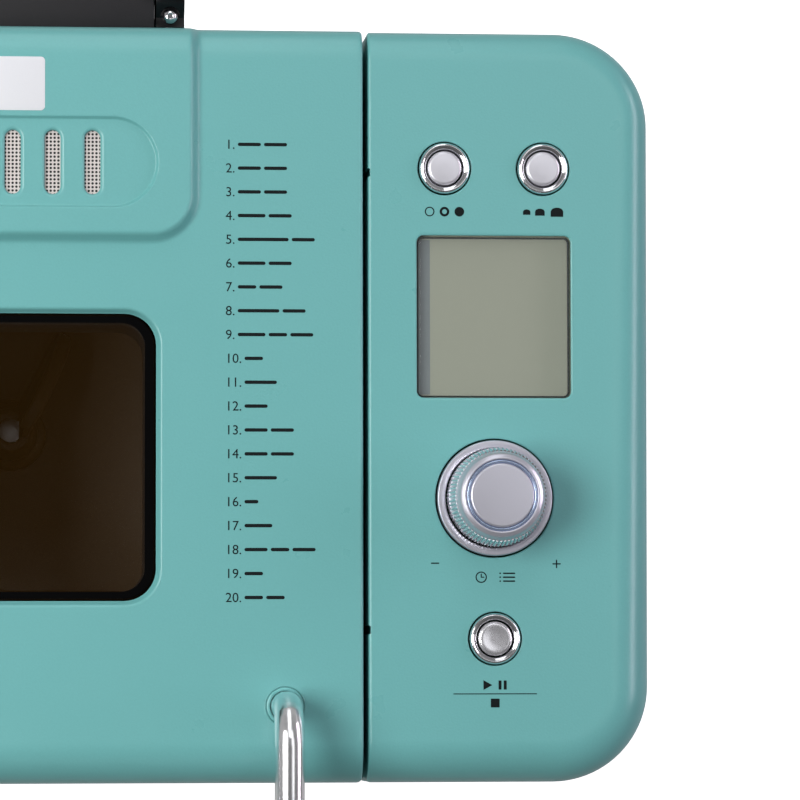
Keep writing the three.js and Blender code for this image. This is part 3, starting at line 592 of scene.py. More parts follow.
def makePerforationTree():  # a sheet of square cells, each with a round hole
    tree, given, made = newTree("perforatedSheet", "GeometryNodeTree", [
        ("Geometry", "NodeSocketGeometry", None), ("Width", "NodeSocketFloat", 0.07),
        ("Depth", "NodeSocketFloat", 0.024), ("Pitch", "NodeSocketFloat", 0.00112),
        ("Hole", "NodeSocketFloat", 0.0003), ("Centre", "NodeSocketVector", (0, 0, 0)),
        ("Finish", "NodeSocketMaterial", None),
    ], [("Sheet", "NodeSocketGeometry")])
    countX = maths(tree, "FLOOR", maths(tree, "DIVIDE", given["Width"], given["Pitch"]))
    countY = maths(tree, "FLOOR", maths(tree, "DIVIDE", given["Depth"], given["Pitch"]))
    stepX = maths(tree, "SUBTRACT", countX, 1.0)
    stepY = maths(tree, "SUBTRACT", countY, 1.0)
    grid = addNode(tree, "GeometryNodeMeshGrid", {
        "Size X": maths(tree, "MULTIPLY", stepX, given["Pitch"]),
        "Size Y": maths(tree, "MULTIPLY", stepY, given["Pitch"]), "Vertices X": countX, "Vertices Y": countY})
    square = addNode(tree, "GeometryNodeCurvePrimitiveQuadrilateral", {
        "Width": given["Pitch"], "Height": given["Pitch"]}).outputs[0]
    hole = addNode(tree, "GeometryNodeCurvePrimitiveCircle", {"Resolution": 8, "Radius": given["Hole"]}).outputs[0]
    both = tree.nodes.new("GeometryNodeJoinGeometry")
    tree.links.new(square, both.inputs[0])
    tree.links.new(hole, both.inputs[0])
    cell = addNode(tree, "GeometryNodeFillCurve", {0: both.outputs[0]}).outputs[0]
    many = onPoints(tree, {"Points": grid.outputs[0], "Instance": cell})
    moved = addNode(tree, "GeometryNodeTransform", {"Geometry": many, "Translation": given["Centre"]}).outputs[0]
    whole = addNode(tree, "GeometryNodeRealizeInstances", {0: moved}).outputs[0]
    joined = addNode(tree, "GeometryNodeMergeByDistance", {"Geometry": whole, "Distance": 0.00002}).outputs[0]
    painted = addNode(tree, "GeometryNodeSetMaterial", {
        "Geometry": joined, "Material": given["Finish"]}).outputs[0]
    tree.links.new(painted, made[0])
    return tree


def makeRepeatTree():  # copies of one template on every point of a mesh
    tree, given, made = newTree("repeatedPiece", "GeometryNodeTree", [
        ("Spots", "NodeSocketGeometry", None), ("Template", "NodeSocketObject", None),
        ("Finish", "NodeSocketMaterial", None),
    ], [("Copies", "NodeSocketGeometry")])
    template = addNode(tree, "GeometryNodeObjectInfo", {"Object": given["Template"]}).outputs["Geometry"]
    many = onPoints(tree, {"Points": given["Spots"], "Instance": template})
    return giveGeometry(tree, made, many, given["Finish"])


rodTree = makeRodTree()
ribTree = makeRibTree()
perforationTree = makePerforationTree()
repeatTree = makeRepeatTree()


def nodesPiece(name, tree, values, points=((0, 0, 0),), edges=()):
    mesh = bpy.data.meshes.new(name)
    mesh.from_pydata([tuple(c * mm for c in p) for p in points], list(edges), [])
    piece = bpy.data.objects.new(name, mesh)
    bpy.context.scene.collection.objects.link(piece)
    modifier = piece.modifiers.new("nodes", "NODES")
    modifier.node_group = tree
    setInputs(modifier, values)
    bpy.context.view_layer.update()
    return settle(piece)


def rodPiece(name, path, radius, bend, material, sides=32):
    edges = [(i, i + 1) for i in range(len(path) - 1)]
    return nodesPiece(name, rodTree, {"Radius": radius * mm, "Bend radius": bend * mm, "Sides": sides,
                                      "Finish": material}, path, edges)


def repeatedPiece(name, template, spots, material):
    piece = nodesPiece(name, repeatTree, {"Template": template, "Finish": material}, spots)
    bpy.data.objects.remove(template)
    return piece


# ---------- lid and hood shells ----------

bodyLow, bodyHigh = cad("outer_shell")[:2]
lidLow, lidHigh = cad("lid_shell")[:2]
hoodLow, hoodHigh = cad("control_hood")[:2]
glassLow, glassHigh, glassMiddle = cad("window_glass")
halfWidth, halfDepth = bodyHigh.x, bodyHigh.y

shellShape = {
    "corner": 29.5,
    "frontRound": 12.5,
    "backRound": 8.0,
    "lipRound": 1.2,
    "loops": (0.1, 0.35, 0.8, 1.5, 2.4, 3.5, 4.8, 6.2, 7.8, 9.6, 11.4, 12.5, 13.2),
}
lidShape = {
    "humpRise": 3.6, "humpHalf": 57.5, "humpFront": 48.8, "humpCorner": 15.0, "humpSlope": 4.2,
    "ovalHalfX": 44.7, "ovalHalfY": 14.2, "ovalY": 73.6, "ovalDepth": 1.1, "ovalSlope": 1.15,
    "slotPitch": 12.15, "slotHalfX": 2.4, "slotHalfY": 9.75, "slotY": 73.6, "slotRim": 1.1,
    "windowSlope": 1.9, "windowCorner": 9.8, "windowGap": 0.35,
    "handleHole": 5.85, "handleRim": 0.6,
}
lidX = glassMiddle.x
lidTop = lidHigh.z - lidShape["humpRise"]
hoodTop = hoodHigh.z
windowSpot = (glassMiddle.x, glassMiddle.y)
windowHalf = (glassHigh.x - glassLow.x) / 2 + lidShape["windowGap"]
nutRight = cad("handle_nut_right")[2]
handleSpots = [(2 * lidX - nutRight.x, nutRight.y), (nutRight.x, nutRight.y)]
slotSpots = [(lidX + i * lidShape["slotPitch"], lidShape["slotY"]) for i in range(-2, 3)]


def bodyInset(x, y):
    return -boxDistance(x, y, (0, 0), halfWidth, halfDepth, shellShape["corner"])


def topRound(y):  # the top edge is rounded less at the back
    return shellShape["frontRound"] + (shellShape["backRound"] - shellShape["frontRound"]) * easing((y - 55) / 45)


def bodyLoops():
    loops = []
    for inset in shellShape["loops"]:
        half = (halfWidth - inset, halfDepth - inset)
        loops.append((rectLoop((0, 0), half[0], half[1], shellShape["corner"] - inset, 22), True))
    return loops


def lidHeight(x, y):
    s = lidShape
    hump = -boxDistance(x, y, (lidX, s["humpFront"] + 150), s["humpHalf"], 150, s["humpCorner"])
    oval = -boxDistance(x, y, (lidX, s["ovalY"]), s["ovalHalfX"], s["ovalHalfY"], s["ovalHalfY"])
    window = boxDistance(x, y, windowSpot, windowHalf, windowHalf, s["windowCorner"])
    height = lidTop - edgeDrop(bodyInset(x, y), topRound(y))
    height -= edgeDrop(lidHigh.x - x, shellShape["lipRound"])
    height += s["humpRise"] * easing((hump + 0.3) / s["humpSlope"])
    height -= s["ovalDepth"] * easing(oval / s["ovalSlope"])
    height -= (lidTop - glassHigh.z) * (1 - easing((window + 0.5) / (s["windowSlope"] + 0.5)))
    for spot in slotSpots:
        away = boxDistance(x, y, spot, s["slotHalfX"], s["slotHalfY"], s["slotHalfX"])
        height -= edgeDrop(np.maximum(away, 0), s["slotRim"])
    for spot in handleSpots:
        away = np.hypot(x - spot[0], y - spot[1]) - s["handleHole"]
        height -= edgeDrop(np.maximum(away, 0), s["handleRim"])
    return height


def makeLid():
    s = lidShape
    holes = [rectLoop(windowSpot, windowHalf, windowHalf, s["windowCorner"], 10)]
    holes += [rectLoop(spot, s["slotHalfX"], s["slotHalfY"], s["slotHalfX"], 7) for spot in slotSpots]
    holes += [circleLoop(spot, s["handleHole"]) for spot in handleSpots]
    guides = bodyLoops()
    for inset in (-0.8, -0.3, 0.1, 0.5, 0.9, 1.3, 1.7, 2.1, 2.5, 2.9, 3.3, 3.8, 4.5):
        low = (lidX - s["humpHalf"] + inset, s["humpFront"] + inset)
        high = (lidX + s["humpHalf"] - inset, halfDepth + 20)
        guides.append((roundedLoop(low, high, [s["humpCorner"] - inset] * 2 + [1, 1], 12), True))
    for inset in (-0.4, 0.0, 0.15, 0.35, 0.55, 0.75, 0.95, 1.15, 1.4, 2.0):
        guides.append((rectLoop((lidX, s["ovalY"]), s["ovalHalfX"] - inset, s["ovalHalfY"] - inset,
                                s["ovalHalfY"] - inset - 0.01, 18), True))
    for grow in (0.15, 0.35, 0.6, 0.9, 1.2, 1.5, 1.8, 2.1, 2.6):
        guides.append((rectLoop(windowSpot, windowHalf + grow, windowHalf + grow, s["windowCorner"] + grow, 10), True))
    for grow in (0.06, 0.2, 0.45, 0.75, 1.1, 1.4):
        for spot in slotSpots:
            half = s["slotHalfX"] + grow
            guides.append((rectLoop(spot, half, s["slotHalfY"] + grow, half, 7), True))
        for spot in handleSpots:
            guides.append((circleLoop(spot, s["handleHole"] + grow * 0.75), True))
    for inset in (0.08, 0.25, 0.5, 0.8, 1.2, 1.6):
        x = lidHigh.x - inset
        guides.append(([(x, -halfDepth - 5), (x, halfDepth + 5)], False))
    outline = roundedLoop((-halfWidth, -halfDepth), (lidHigh.x, halfDepth),
                          [shellShape["corner"], 1.6, 1.6, shellShape["corner"]], 22)
    skirt = [(lidLow.z + 0.9, 0), (lidLow.z + 0.25, 0.2), (lidLow.z, 0.8)]
    lid = skinPiece("lidShell", outline, holes, guides, lidHeight, tealPlastic, skirt)
    hand(lid, "lid", "lid_plastic", "lid_shell")


makeLid()
print("lid made")

controls = {
    "buttonHole": 8.3, "knobHole": 18.3, "holeRim": 0.35, "displayGap": 0.25, "displayCorner": 2.1,
    "notchY": (71.6, -69.2), "notchHalf": 1.5, "notchDepth": 0.7,
}
buttonSpots = {name: cad(name + "_button_bezel")[2] for name in ("color", "weight", "start")}
knobSpot = cad("knob_ring")[2]
lensLow, lensHigh, lensMiddle = cad("display_lens")
lensHalf = ((lensHigh.x - lensLow.x) / 2, (lensHigh.y - lensLow.y) / 2)


def hoodHeight(x, y):
    height = hoodTop - edgeDrop(bodyInset(x, y), topRound(y) + 0.5) - edgeDrop(x - hoodLow.x, 1.0)
    for spot in buttonSpots.values():
        away = np.hypot(x - spot.x, y - spot.y) - controls["buttonHole"]
        height -= edgeDrop(np.maximum(away, 0), controls["holeRim"])
    away = np.hypot(x - knobSpot.x, y - knobSpot.y) - controls["knobHole"]
    height -= edgeDrop(np.maximum(away, 0), controls["holeRim"])
    gap = controls["displayGap"]
    away = boxDistance(x, y, (lensMiddle.x, lensMiddle.y), lensHalf[0] + gap, lensHalf[1] + gap,
                       controls["displayCorner"])
    return height - edgeDrop(np.maximum(away, 0), 0.5)


def makeHood():
    c = controls
    gap = c["displayGap"]
    display = (lensMiddle.x, lensMiddle.y)
    holes = [rectLoop(display, lensHalf[0] + gap, lensHalf[1] + gap, c["displayCorner"], 6)]
    holes += [circleLoop((s.x, s.y), c["buttonHole"], 56) for s in buttonSpots.values()]
    holes.append(circleLoop((knobSpot.x, knobSpot.y), c["knobHole"], 96))
    guides = bodyLoops()
    for grow in (0.05, 0.15, 0.35, 0.7):
        guides += [(circleLoop((s.x, s.y), c["buttonHole"] + grow, 56), True) for s in buttonSpots.values()]
        guides.append((circleLoop((knobSpot.x, knobSpot.y), c["knobHole"] + grow, 96), True))
        more = gap + grow * 1.4
        guides.append((rectLoop(display, lensHalf[0] + more, lensHalf[1] + more, c["displayCorner"] + grow * 1.4, 6),
                       True))
    for inset in (0.06, 0.2, 0.45, 0.75, 1.0, 1.4):
        guides.append(([(hoodLow.x + inset, -halfDepth - 5), (hoodLow.x + inset, halfDepth + 5)], False))
    outline = roundedLoop((hoodLow.x, -halfDepth), (halfWidth, halfDepth),
                          [1.6, shellShape["corner"], shellShape["corner"], 1.6], 22)
    for y in c["notchY"]:
        low, high = y - c["notchHalf"], y + c["notchHalf"]
        deep = hoodLow.x + c["notchDepth"]
        outline += [(hoodLow.x, high), (deep, high - 0.4), (deep, low + 0.4), (hoodLow.x, low)]
    skirt = [(hoodLow.z + 0.9, 0), (hoodLow.z + 0.25, 0.2), (hoodLow.z, 0.8)]
    hood = skinPiece("controlHood", outline, holes, guides, hoodHeight, tealPlastic, skirt)
    hand(hood, "housing", "lid_plastic", "control_hood")


makeHood()
print("hood made")


# ---------- outer shell, base and feet ----------

shellVents = {
    "sideY": [-44 + 11 * i for i in range(9)], "sideZ": (42, 92),
    "backX": [68 + 9 * i for i in range(5)], "backZ": (150, 200),
    "slotHalf": 1.75, "wall": 2.2, "edge": 1.0,
}


def shellPath():
    loop = rectLoop((0, 0), halfWidth, halfDepth, shellShape["corner"], 22)
    start = loop.index(max(loop[:23], key=lambda p: p[0]))
    loop = loop[start:] + loop[:start]
    loop.append(loop[0])
    along = [0.0]
    for (x0, y0), (x1, y1) in zip(loop, loop[1:]):
        along.append(along[-1] + math.hypot(x1 - x0, y1 - y0))
    return loop, along


def makeShell():
    s = shellVents
    loop, along = shellPath()
    xs, ys = [p[0] for p in loop], [p[1] for p in loop]
    normals = []
    for i in range(len(loop)):
        x0, y0 = loop[i - 1 if i else -2]
        x1, y1 = loop[i + 1 if i + 1 < len(loop) else 1]
        length = math.hypot(x1 - x0, y1 - y0)
        normals.append(((y1 - y0) / length, (x0 - x1) / length))
    total = along[-1]
    bottom, top = bodyLow.z, bodyHigh.z

    def place(u, v, h):
        x, y = np.interp(u, along, xs), np.interp(u, along, ys)
        nx, ny = np.interp(u, along, [n[0] for n in normals]), np.interp(u, along, [n[1] for n in normals])
        return float(x + nx * h), float(y + ny * h), v

    def positionOf(x, y):
        best = min(range(len(loop) - 1), key=lambda i: 1e9 if abs(along[i + 1] - along[i]) < 20 else
                   abs(math.hypot(loop[i][0] - x, loop[i][1] - y) + math.hypot(loop[i + 1][0] - x, loop[i + 1][1] - y)
                       - (along[i + 1] - along[i])))
        return along[best] + math.hypot(loop[best][0] - x, loop[best][1] - y)

    slots = []
    for y in s["sideY"]:
        slots.append((positionOf(halfWidth, y), sum(s["sideZ"]) / 2, (s["sideZ"][1] - s["sideZ"][0]) / 2))
    for x in s["backX"]:
        slots.append((positionOf(x, halfDepth), sum(s["backZ"]) / 2, (s["backZ"][1] - s["backZ"][0]) / 2))
    glandMiddle = cad("cord_gland")[2]
    gland = (positionOf(glandMiddle.x, halfDepth), glandMiddle.z)
    holes = [rectLoop((u, v), s["slotHalf"], half, s["slotHalf"] - 0.05, 5) for u, v, half in slots]
    holes.append(circleLoop(gland, 8.3, 40))
    guides = [([(u, bottom - 5), (u, top + 5)], False) for u in along[1:-1]]
    for grow in (0.15, 0.4, 0.8):
        guides += [(rectLoop((u, v), s["slotHalf"] + grow, half + grow, s["slotHalf"] + grow - 0.05, 5), True)
                   for u, v, half in slots]
    for inset in (0.1, 0.3, 0.6, 1.0, 1.6):
        guides += [([(-5, v), (total + 5, v)], False) for v in (bottom + inset, top - inset)]

    def heightAt(u, v):
        height = -edgeDrop(v - bottom, s["edge"]) - edgeDrop(top - v, s["edge"])
        for uc, vc, half in slots:
            away = boxDistance(u, v, (uc, vc), s["slotHalf"], half, s["slotHalf"] - 0.05)
            height -= 0.4 * edgeDrop(np.maximum(away, 0) / 0.8, 1.0)
        return height

    outline = [(0, bottom), (total, bottom), (total, top), (0, top)]
    shell = skinPiece("outerShell", outline, holes, guides, heightAt, tealPaint, wall=s["wall"], place=place)
    hand(shell, "housing", "shell_paint", "outer_shell")
    slat, faces = slab(rectLoop((0, 0), 0.5, 4.0, 0.45, 3), -26, 26)
    template = meshPiece("slatTemplate", slat, faces, innerPlastic)
    template.data.transform(Matrix.Rotation(math.radians(52), 4, "Z"))
    spots = [(halfWidth - 6.5, y + 2, sum(s["sideZ"]) / 2) for y in s["sideY"]]
    slats = repeatedPiece("sideSlats", template, spots, innerPlastic)
    hand(slats, "housing", "black_plastic")


makeShell()


def makeFeet():
    ledge = {"radius": 12, "height": 7.7}
    for node in [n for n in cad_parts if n.startswith("foot_")]:
        middle = cad(node)[2]
        corners = [(0, 0.6), (5.5, 0.6, 0.3), (6.2, 0, 0.3), (9.4, 0, 0.6), (10.6, 1.2, 0.5), (11, 2.2, 0.3),
                   (11.1, 2.9, 0.3), (11.6, 3.2, 0.3), (ledge["radius"], ledge["height"], 0.3), (0, ledge["height"])]
        foot = turnedPiece(node.replace("foot_", "rubberFoot_"), corners, (middle.x, middle.y, 0), footRubber, 48)
        hand(foot, "housing", "foot_rubber", node)
    head = turnedPiece("trayScrewTemplate", [(0, 0), (2.9, 0, 0.2), (2.9, -0.8, 0.5), (1.4, -1.5, 0.3), (1.1, -0.9),
                                             (0, -0.9)], (0, 0, 0), drawnSteel, 24)
    spots = [(x, y, 8.0) for x in (-95, 0, 62) for y in (-96, 96)]
    hand(repeatedPiece("trayScrews", head, spots, drawnSteel), "housing", "steel")
    for row in (
        ("base_tray", innerPlastic, "housing", "black_plastic", 0.6),
        ("cord_gland", glossPlastic, "housing", "black_plastic", 0.4),
        ("top_deck", innerPlastic, "housing", "dark_plastic", 0.4),
    ):
        softened(*row)


makeFeet()
print("body made")


# ---------- hinge ----------

def makeHinge():
    for row in (
        ("hinge_block", hingePlastic, "lid", "dark_plastic", 0.7),
        ("hinge_bracket", glossPlastic, "housing", "black_plastic", 0.7),
    ):
        softened(*row)
    head = turnedPiece("hingeScrewTemplate", [
        (0, 0), (2.35, 0, 0.2), (2.35, 0.5, 0.3), (1.5, 1.4, 0.5), (0.9, 1.55, 0.1), (0.7, 1.0), (0, 1.0)],
        (0, 0, 0), chromePlate, 32)
    left, right = cad("hinge_screw_left"), cad("hinge_screw_right")
    spots = [(p[2].x, p[2].y, p[0].z) for p in (left, right)]
    screws = repeatedPiece("hingeScrews", head, spots, chromePlate)
    hand(screws, "housing", "chrome", "hinge_screw_left", "hinge_screw_right")


makeHinge()


# ---------- window, vents and handle on the lid ----------

def makeWindow():
    half = (glassHigh.x - glassLow.x) / 2
    middle = windowSpot
    low, high = glassLow.z, glassHigh.z
    rings = insetRings(half, half, [(0.6, 8.9, low), (0, 9.5, low + 0.6), (0, 9.5, high - 0.45),
                                    (0.2, 9.3, high - 0.12), (0.5, 9.0, high)])
    hand(loftPiece("windowPane", middle, rings, smokedGlass, 12), "lid", "smoked_glass", "window_glass")
    border = {"sides": 3.1, "ends": 2.5, "corner": 7.3}
    outer, innerX, innerY = half - 0.35, half - border["sides"], half - border["ends"]
    z = glassHigh.z + 0.02
    rings = [(outer, outer, 9.1, z), (innerX, innerY, border["corner"], z),
             (innerX, innerY, border["corner"], z + 0.04), (outer, outer, 9.1, z + 0.04)]
    frit = loftPiece("windowBorder", middle, rings, borderBlack, 12, closed=True)
    hand(frit, "lid", "black_plastic")
    for row in (
        ("lid_liner", innerPlastic, "lid", "dark_plastic", 0.5),
        ("window_gasket", footRubber, "lid", "belt_rubber", 0.3),
    ):
        softened(*row)
    low, high, middle = cad("lid_seal")
    halfX, halfY = (high.x - low.x) / 2, (high.y - low.y) / 2
    rings = insetRings(halfX, halfY, [(0, 22, high.z), (0, 22, low.z + 0.9), (0.9, 21, low.z), (2.1, 20, low.z),
                                      (3, 19, low.z + 0.9), (3, 19, high.z)])
    seal = loftPiece("lidSeal", (middle.x, middle.y), rings, sealSilicone, 12, closed=True)
    hand(seal, "lid", "silicone", "lid_seal")


makeWindow()


def makeVent():
    low, high, middle = cad("vent_mesh")
    plate = {"pitch": 1.16, "hole": 0.4}
    sheet = nodesPiece("ventPlate", perforationTree, {
        "Width": (high.x - low.x) * mm, "Depth": (high.y - low.y) * mm, "Pitch": plate["pitch"] * mm,
        "Hole": plate["hole"] * mm, "Centre": Vector((middle.x, lidShape["slotY"], high.z)) * mm,
        "Finish": ventMetal})
    hand(sheet, "lid", "steel", "vent_mesh")
    # painted shade: a dark plate under the perforated sheet, so its holes read dark like the shade behind them
    points, faces = slab(rectLoop((middle.x, middle.y), 37, 12.5, 2, 3), high.z - 3.2, high.z - 2.6)
    hand(meshPiece("ventShade", points, faces, innerPlastic), "lid", "dark_plastic")


makeVent()


def makeHandle():
    low, high = cad("lid_handle")[:2]
    rod = {"radius": 4.5, "bend": 12, "corner": 18}
    top = high.z - rod["radius"]
    bar = low.y + rod["radius"]
    (leftX, footY), (rightX, footY) = handleSpots
    path = []
    steps = 10
    for x, side in ((leftX, 1), (rightX, -1)):
        arm = [(x, footY, low.z)]
        for i in range(steps + 1):  # up out of the lid and forward
            angle = math.pi / 2 * i / steps
            arm.append((x, footY - rod["bend"] * (1 - math.cos(angle)),
                        top - rod["bend"] * (1 - math.sin(angle))))
        for i in range(steps + 1):  # round into the cross bar
            angle = math.pi / 2 * i / steps
            arm.append((x + side * rod["corner"] * (1 - math.cos(angle)),
                        bar + rod["corner"] * (1 - math.sin(angle)), top))
        path.append(arm)
    points = path[0] + path[1][::-1]
    handle = rodPiece("liftHandle", points, rod["radius"], 0.05, handleChrome, 40)
    hand(handle, "lid", "chrome", "lid_handle")
    for name, (x, y) in zip(("left", "right"), handleSpots):
        collar = turnedPiece("handleCollar_" + name, [
            (4.6, -4), (5.8, -4, 0.1), (5.8, -0.35, 0.2), (5.3, -0.15, 0.2), (4.75, -0.45, 0.2), (4.6, -0.9, 0.1),
            (4.6, -4)], (x, y, lidTop), tealPlastic, 64)
        hand(collar, "lid", "lid_plastic")
    for row in (
        ("handle_nut_left", drawnSteel, "lid", "steel", 0.3), ("handle_nut_right", drawnSteel, "lid", "steel", 0.3),
    ):
        softened(*row)


makeHandle()
print("lid fittings made")


# ---------- controls ----------

def makeButtons():
    for name, spot in buttonSpots.items():
        bezel = turnedPiece(name + "Bezel", [
            (5.75, -4.5), (7.9, -4.5, 0.2), (7.9, 0.35, 0.35), (7.45, 1.1, 0.35), (7.0, 1.25, 0.2), (6.6, 0.95, 0.3),
            (6.0, 0.75, 0.25), (5.75, 0.3, 0.2), (5.75, -4.5)], (spot.x, spot.y, hoodTop), chromePlate, 80)
        hand(bezel, "housing", "chrome", name + "_button_bezel")
        metal = startCap if name == "start" else satinCap
        dish = -0.25 if name == "start" else 0.15
        cap = turnedPiece(name + "Cap", [
            (0, -6), (5.3, -6, 0.2), (5.3, 0.7, 0.5), (4.7, 1.35, 0.5), (3.9, 1.4, 0.4), (2.0, 1.4 + dish, 1.2),
            (0, 1.4 + dish)], (spot.x, spot.y, hoodTop), metal, 64)
        hand(cap, name + "_button", "chrome", name + "_button_cap")


makeButtons()


def makeDisplay():
    x, y = lensMiddle.x, lensMiddle.y
    halfX, halfY = lensHalf
    top = hoodTop + 0.1
    rings = insetRings(halfX, halfY, [(0.1, 1.8, lensLow.z), (0.1, 1.8, top - 0.8), (0.7, 1.4, top - 0.1),
                                      (0.9, 1.2, top)])
    hand(loftPiece("displayWindow", (x, y), rings, clearLens, 6, 20), "housing", "display_lens", "display_lens")
    high = cad("display_module")[1]
    rim = insetRings(halfX, halfY, [(0.05, 1.8, lensLow.z - 0.6), (0.05, 1.8, lensLow.z - 0.1),
                                    (0.5, 1.4, lensLow.z - 0.1), (0.5, 1.4, lensLow.z - 0.6)])
    frameRing = loftPiece("displayRim", (x, y), rim, glossPlastic, 6, closed=True)
    hand(frameRing, "housing", "black_plastic")
    points, faces = slab(rectLoop((x, y), halfX + 0.6, halfY + 0.6, 1, 3), high.z - 0.2, lensLow.z - 0.75)
    face = meshPiece("displayFace", points, faces, displayFace)
    hand(face, "housing", "display")
    # painted shadow: a dark strip laid on the left edge of the display face, where the frame's side wall throws shade
    shadowStrip, faces = slab(rectLoop((x - halfX + 2.2, y), 1.9, halfY - 0.9, 0.2, 2), lensLow.z - 0.76, lensLow.z - 0.7)
    hand(meshPiece("displayStrip", shadowStrip, faces, displayShade), "housing", "display")


makeDisplay()


def makeKnob():
    spot = (knobSpot.x, knobSpot.y, hoodTop)
    ring = turnedPiece("knobRing", [
        (15.25, -4), (17.75, -4, 0.2), (17.75, 1.2, 0.25), (17.5, 1.6, 0.15), (16.5, 1.6, 0.1), (15.6, 1.45, 0.2),
        (15.25, 1.1, 0.15), (15.25, -4)], spot, knobSatin, 128)
    hand(ring, "housing", "satin_metal", "knob_ring")
    grips = {"lower": {"ribs": 90, "ring": 14.62, "height": 6.9, "middle": 5.3, "tilt": 0.0},
             "upper": {"ribs": 72, "ring": 14.14, "height": 8.0, "middle": 14.3, "tilt": -0.142}}
    dial = turnedPiece("dialBody", [
        (0, 1.0), (14.7, 1.0, 0.2), (14.75, 1.5, 0.2), (14.6, 1.7, 0.1), (14.55, 8.9, 0.1), (14.95, 9.0, 0.1),
        (14.95, 9.3, 0.1), (14.0, 9.45, 0.1), (14.0, 9.85, 0.1), (14.7, 10.0, 0.15), (13.5, 18.4, 0.2),
        (13.4, 18.9, 0.2), (13.05, 20.2, 0.8), (12.5, 21.3, 0.9), (11.1, 22.2, 0.25), (10.95, 21.6, 0.1), (0, 21.6)],
        spot, knobSatin, 144)
    hand(dial, "knob", "satin_metal", "control_knob")
    shoulder = turnedPiece("dialShoulder", [
        (10.95, 21.5), (12.75, 20.9, 0.3), (12.7, 21.4, 0.6), (11.4, 22.25, 0.25), (10.98, 22.15, 0.1), (10.95, 21.5)],
        spot, knobSatin, 128)
    hand(shoulder, "knob", "satin_metal")
    for name, grip in grips.items():
        ribs = nodesPiece(name + "DialRibs", ribTree, {
            "Count": grip["ribs"], "Ring radius": grip["ring"] * mm, "Rib radius": 0.46 * mm,
            "Rib height": grip["height"] * mm, "Tilt": grip["tilt"],
            "Centre": Vector((spot[0], spot[1], spot[2] + grip["middle"])) * mm, "Finish": knobPolish})
        hand(ribs, "knob", "satin_metal")
    groove = turnedPiece("dialGroove", [
        (9.75, 21.3), (10.9, 21.3, 0.05), (10.9, 21.75, 0.1), (10.55, 22.1, 0.15), (10.1, 22.1, 0.15), (9.75, 21.75, 0.1),
        (9.75, 21.3)], spot, knobBlue, 96)
    hand(groove, "knob", "satin_metal")
    disc = turnedPiece("dialDisc", [(0, 21.4), (9.65, 21.4, 0.1), (9.65, 22.35, 0.2), (9.3, 22.6, 0.25), (0, 22.62)],
                       spot, knobSatin, 96)
    hand(disc, "knob", "satin_metal", "knob_cap")


makeKnob()
print("controls made")


# ---------- printed marks: numbers, plain bars and simple signs ----------

prints = {
    "rowX": 21.4, "firstY": 79.8, "pitch": 7.315, "digitHeight": 3.0, "barHeight": 1.05,
    "letter": 1.42, "space": 0.95, "thick": 0.03,
    "rows": ((5, 5), (5, 5), (5, 5), (6, 5), (11, 5), (6, 5), (4, 5), (9, 5), (6, 4, 5), (4,),
             (7,), (5,), (5, 5), (5, 5), (7,), (3,), (6,), (5, 4, 5), (4,), (4, 4)),
}


def textSlabs(words, x, y, height, z):  # generic digits as flat raised print
    curve = bpy.data.curves.new("digits", "FONT")
    curve.body = words
    curve.size = height * 1.38 * mm
    curve.extrude = prints["thick"] / 2 * mm
    curve.resolution_u = 4
    holder = bpy.data.objects.new("digits", curve)
    bpy.context.scene.collection.objects.link(holder)
    graph = bpy.context.evaluated_depsgraph_get()
    graph.update()
    mesh = bpy.data.meshes.new_from_object(holder.evaluated_get(graph))
    points = [(v.co.x / mm + x, v.co.y / mm + y - height / 2, v.co.z / mm + z) for v in mesh.vertices]
    faces = [tuple(p.vertices) for p in mesh.polygons]
    width = max(p[0] for p in points) - x
    bpy.data.objects.remove(holder)
    bpy.data.curves.remove(curve)
    bpy.data.meshes.remove(mesh)
    return (points, faces), width


def bar(x0, x1, y, height, z):
    loop = rectLoop(((x0 + x1) / 2, y), (x1 - x0) / 2, height / 2, min(height, x1 - x0) / 2 - 0.01, 3)
    return slab(loop, z - prints["thick"] / 2, z + prints["thick"] / 2)


def ringSlab(x, y, outer, inner, z, start=0, sweep=360, steps=28):
    low, high = z - prints["thick"] / 2, z + prints["thick"] / 2
    angles = [math.radians(start + sweep * i / steps) for i in range(steps + 1)]
    if sweep == 360:
        angles = angles[:-1]
    points = []
    for a in angles:
        for radius, level in ((outer, low), (outer, high), (inner, high), (inner, low)):
            points.append((x + radius * math.cos(a), y + radius * math.sin(a), level))
    count, faces = len(angles), []
    for i in range(count if sweep == 360 else count - 1):
        j = (i + 1) % count
        faces += [(4 * i + k, 4 * j + k, 4 * j + (k + 1) % 4, 4 * i + (k + 1) % 4) for k in range(4)]
    if sweep != 360:
        last = 4 * (count - 1)
        faces += [(0, 1, 2, 3), (last + 3, last + 2, last + 1, last)]
    return points, faces


def shapeSlab(loop, z):
    return slab(loop, z - prints["thick"] / 2, z + prints["thick"] / 2)


def loafLoop(x, y, size):  # a plain loaf outline
    body = [(-1.0, -0.7), (1.0, -0.7), (1.0, 0.15)]
    top = [(0.15 + 0.95 * math.cos(a) - 0.15, 0.2 + 0.55 * math.sin(a)) for a in
           [math.pi * i / 12 for i in range(13)]]
    return [(x + px * size, y + py * size) for px, py in body + top + [(-1.0, 0.15)]]


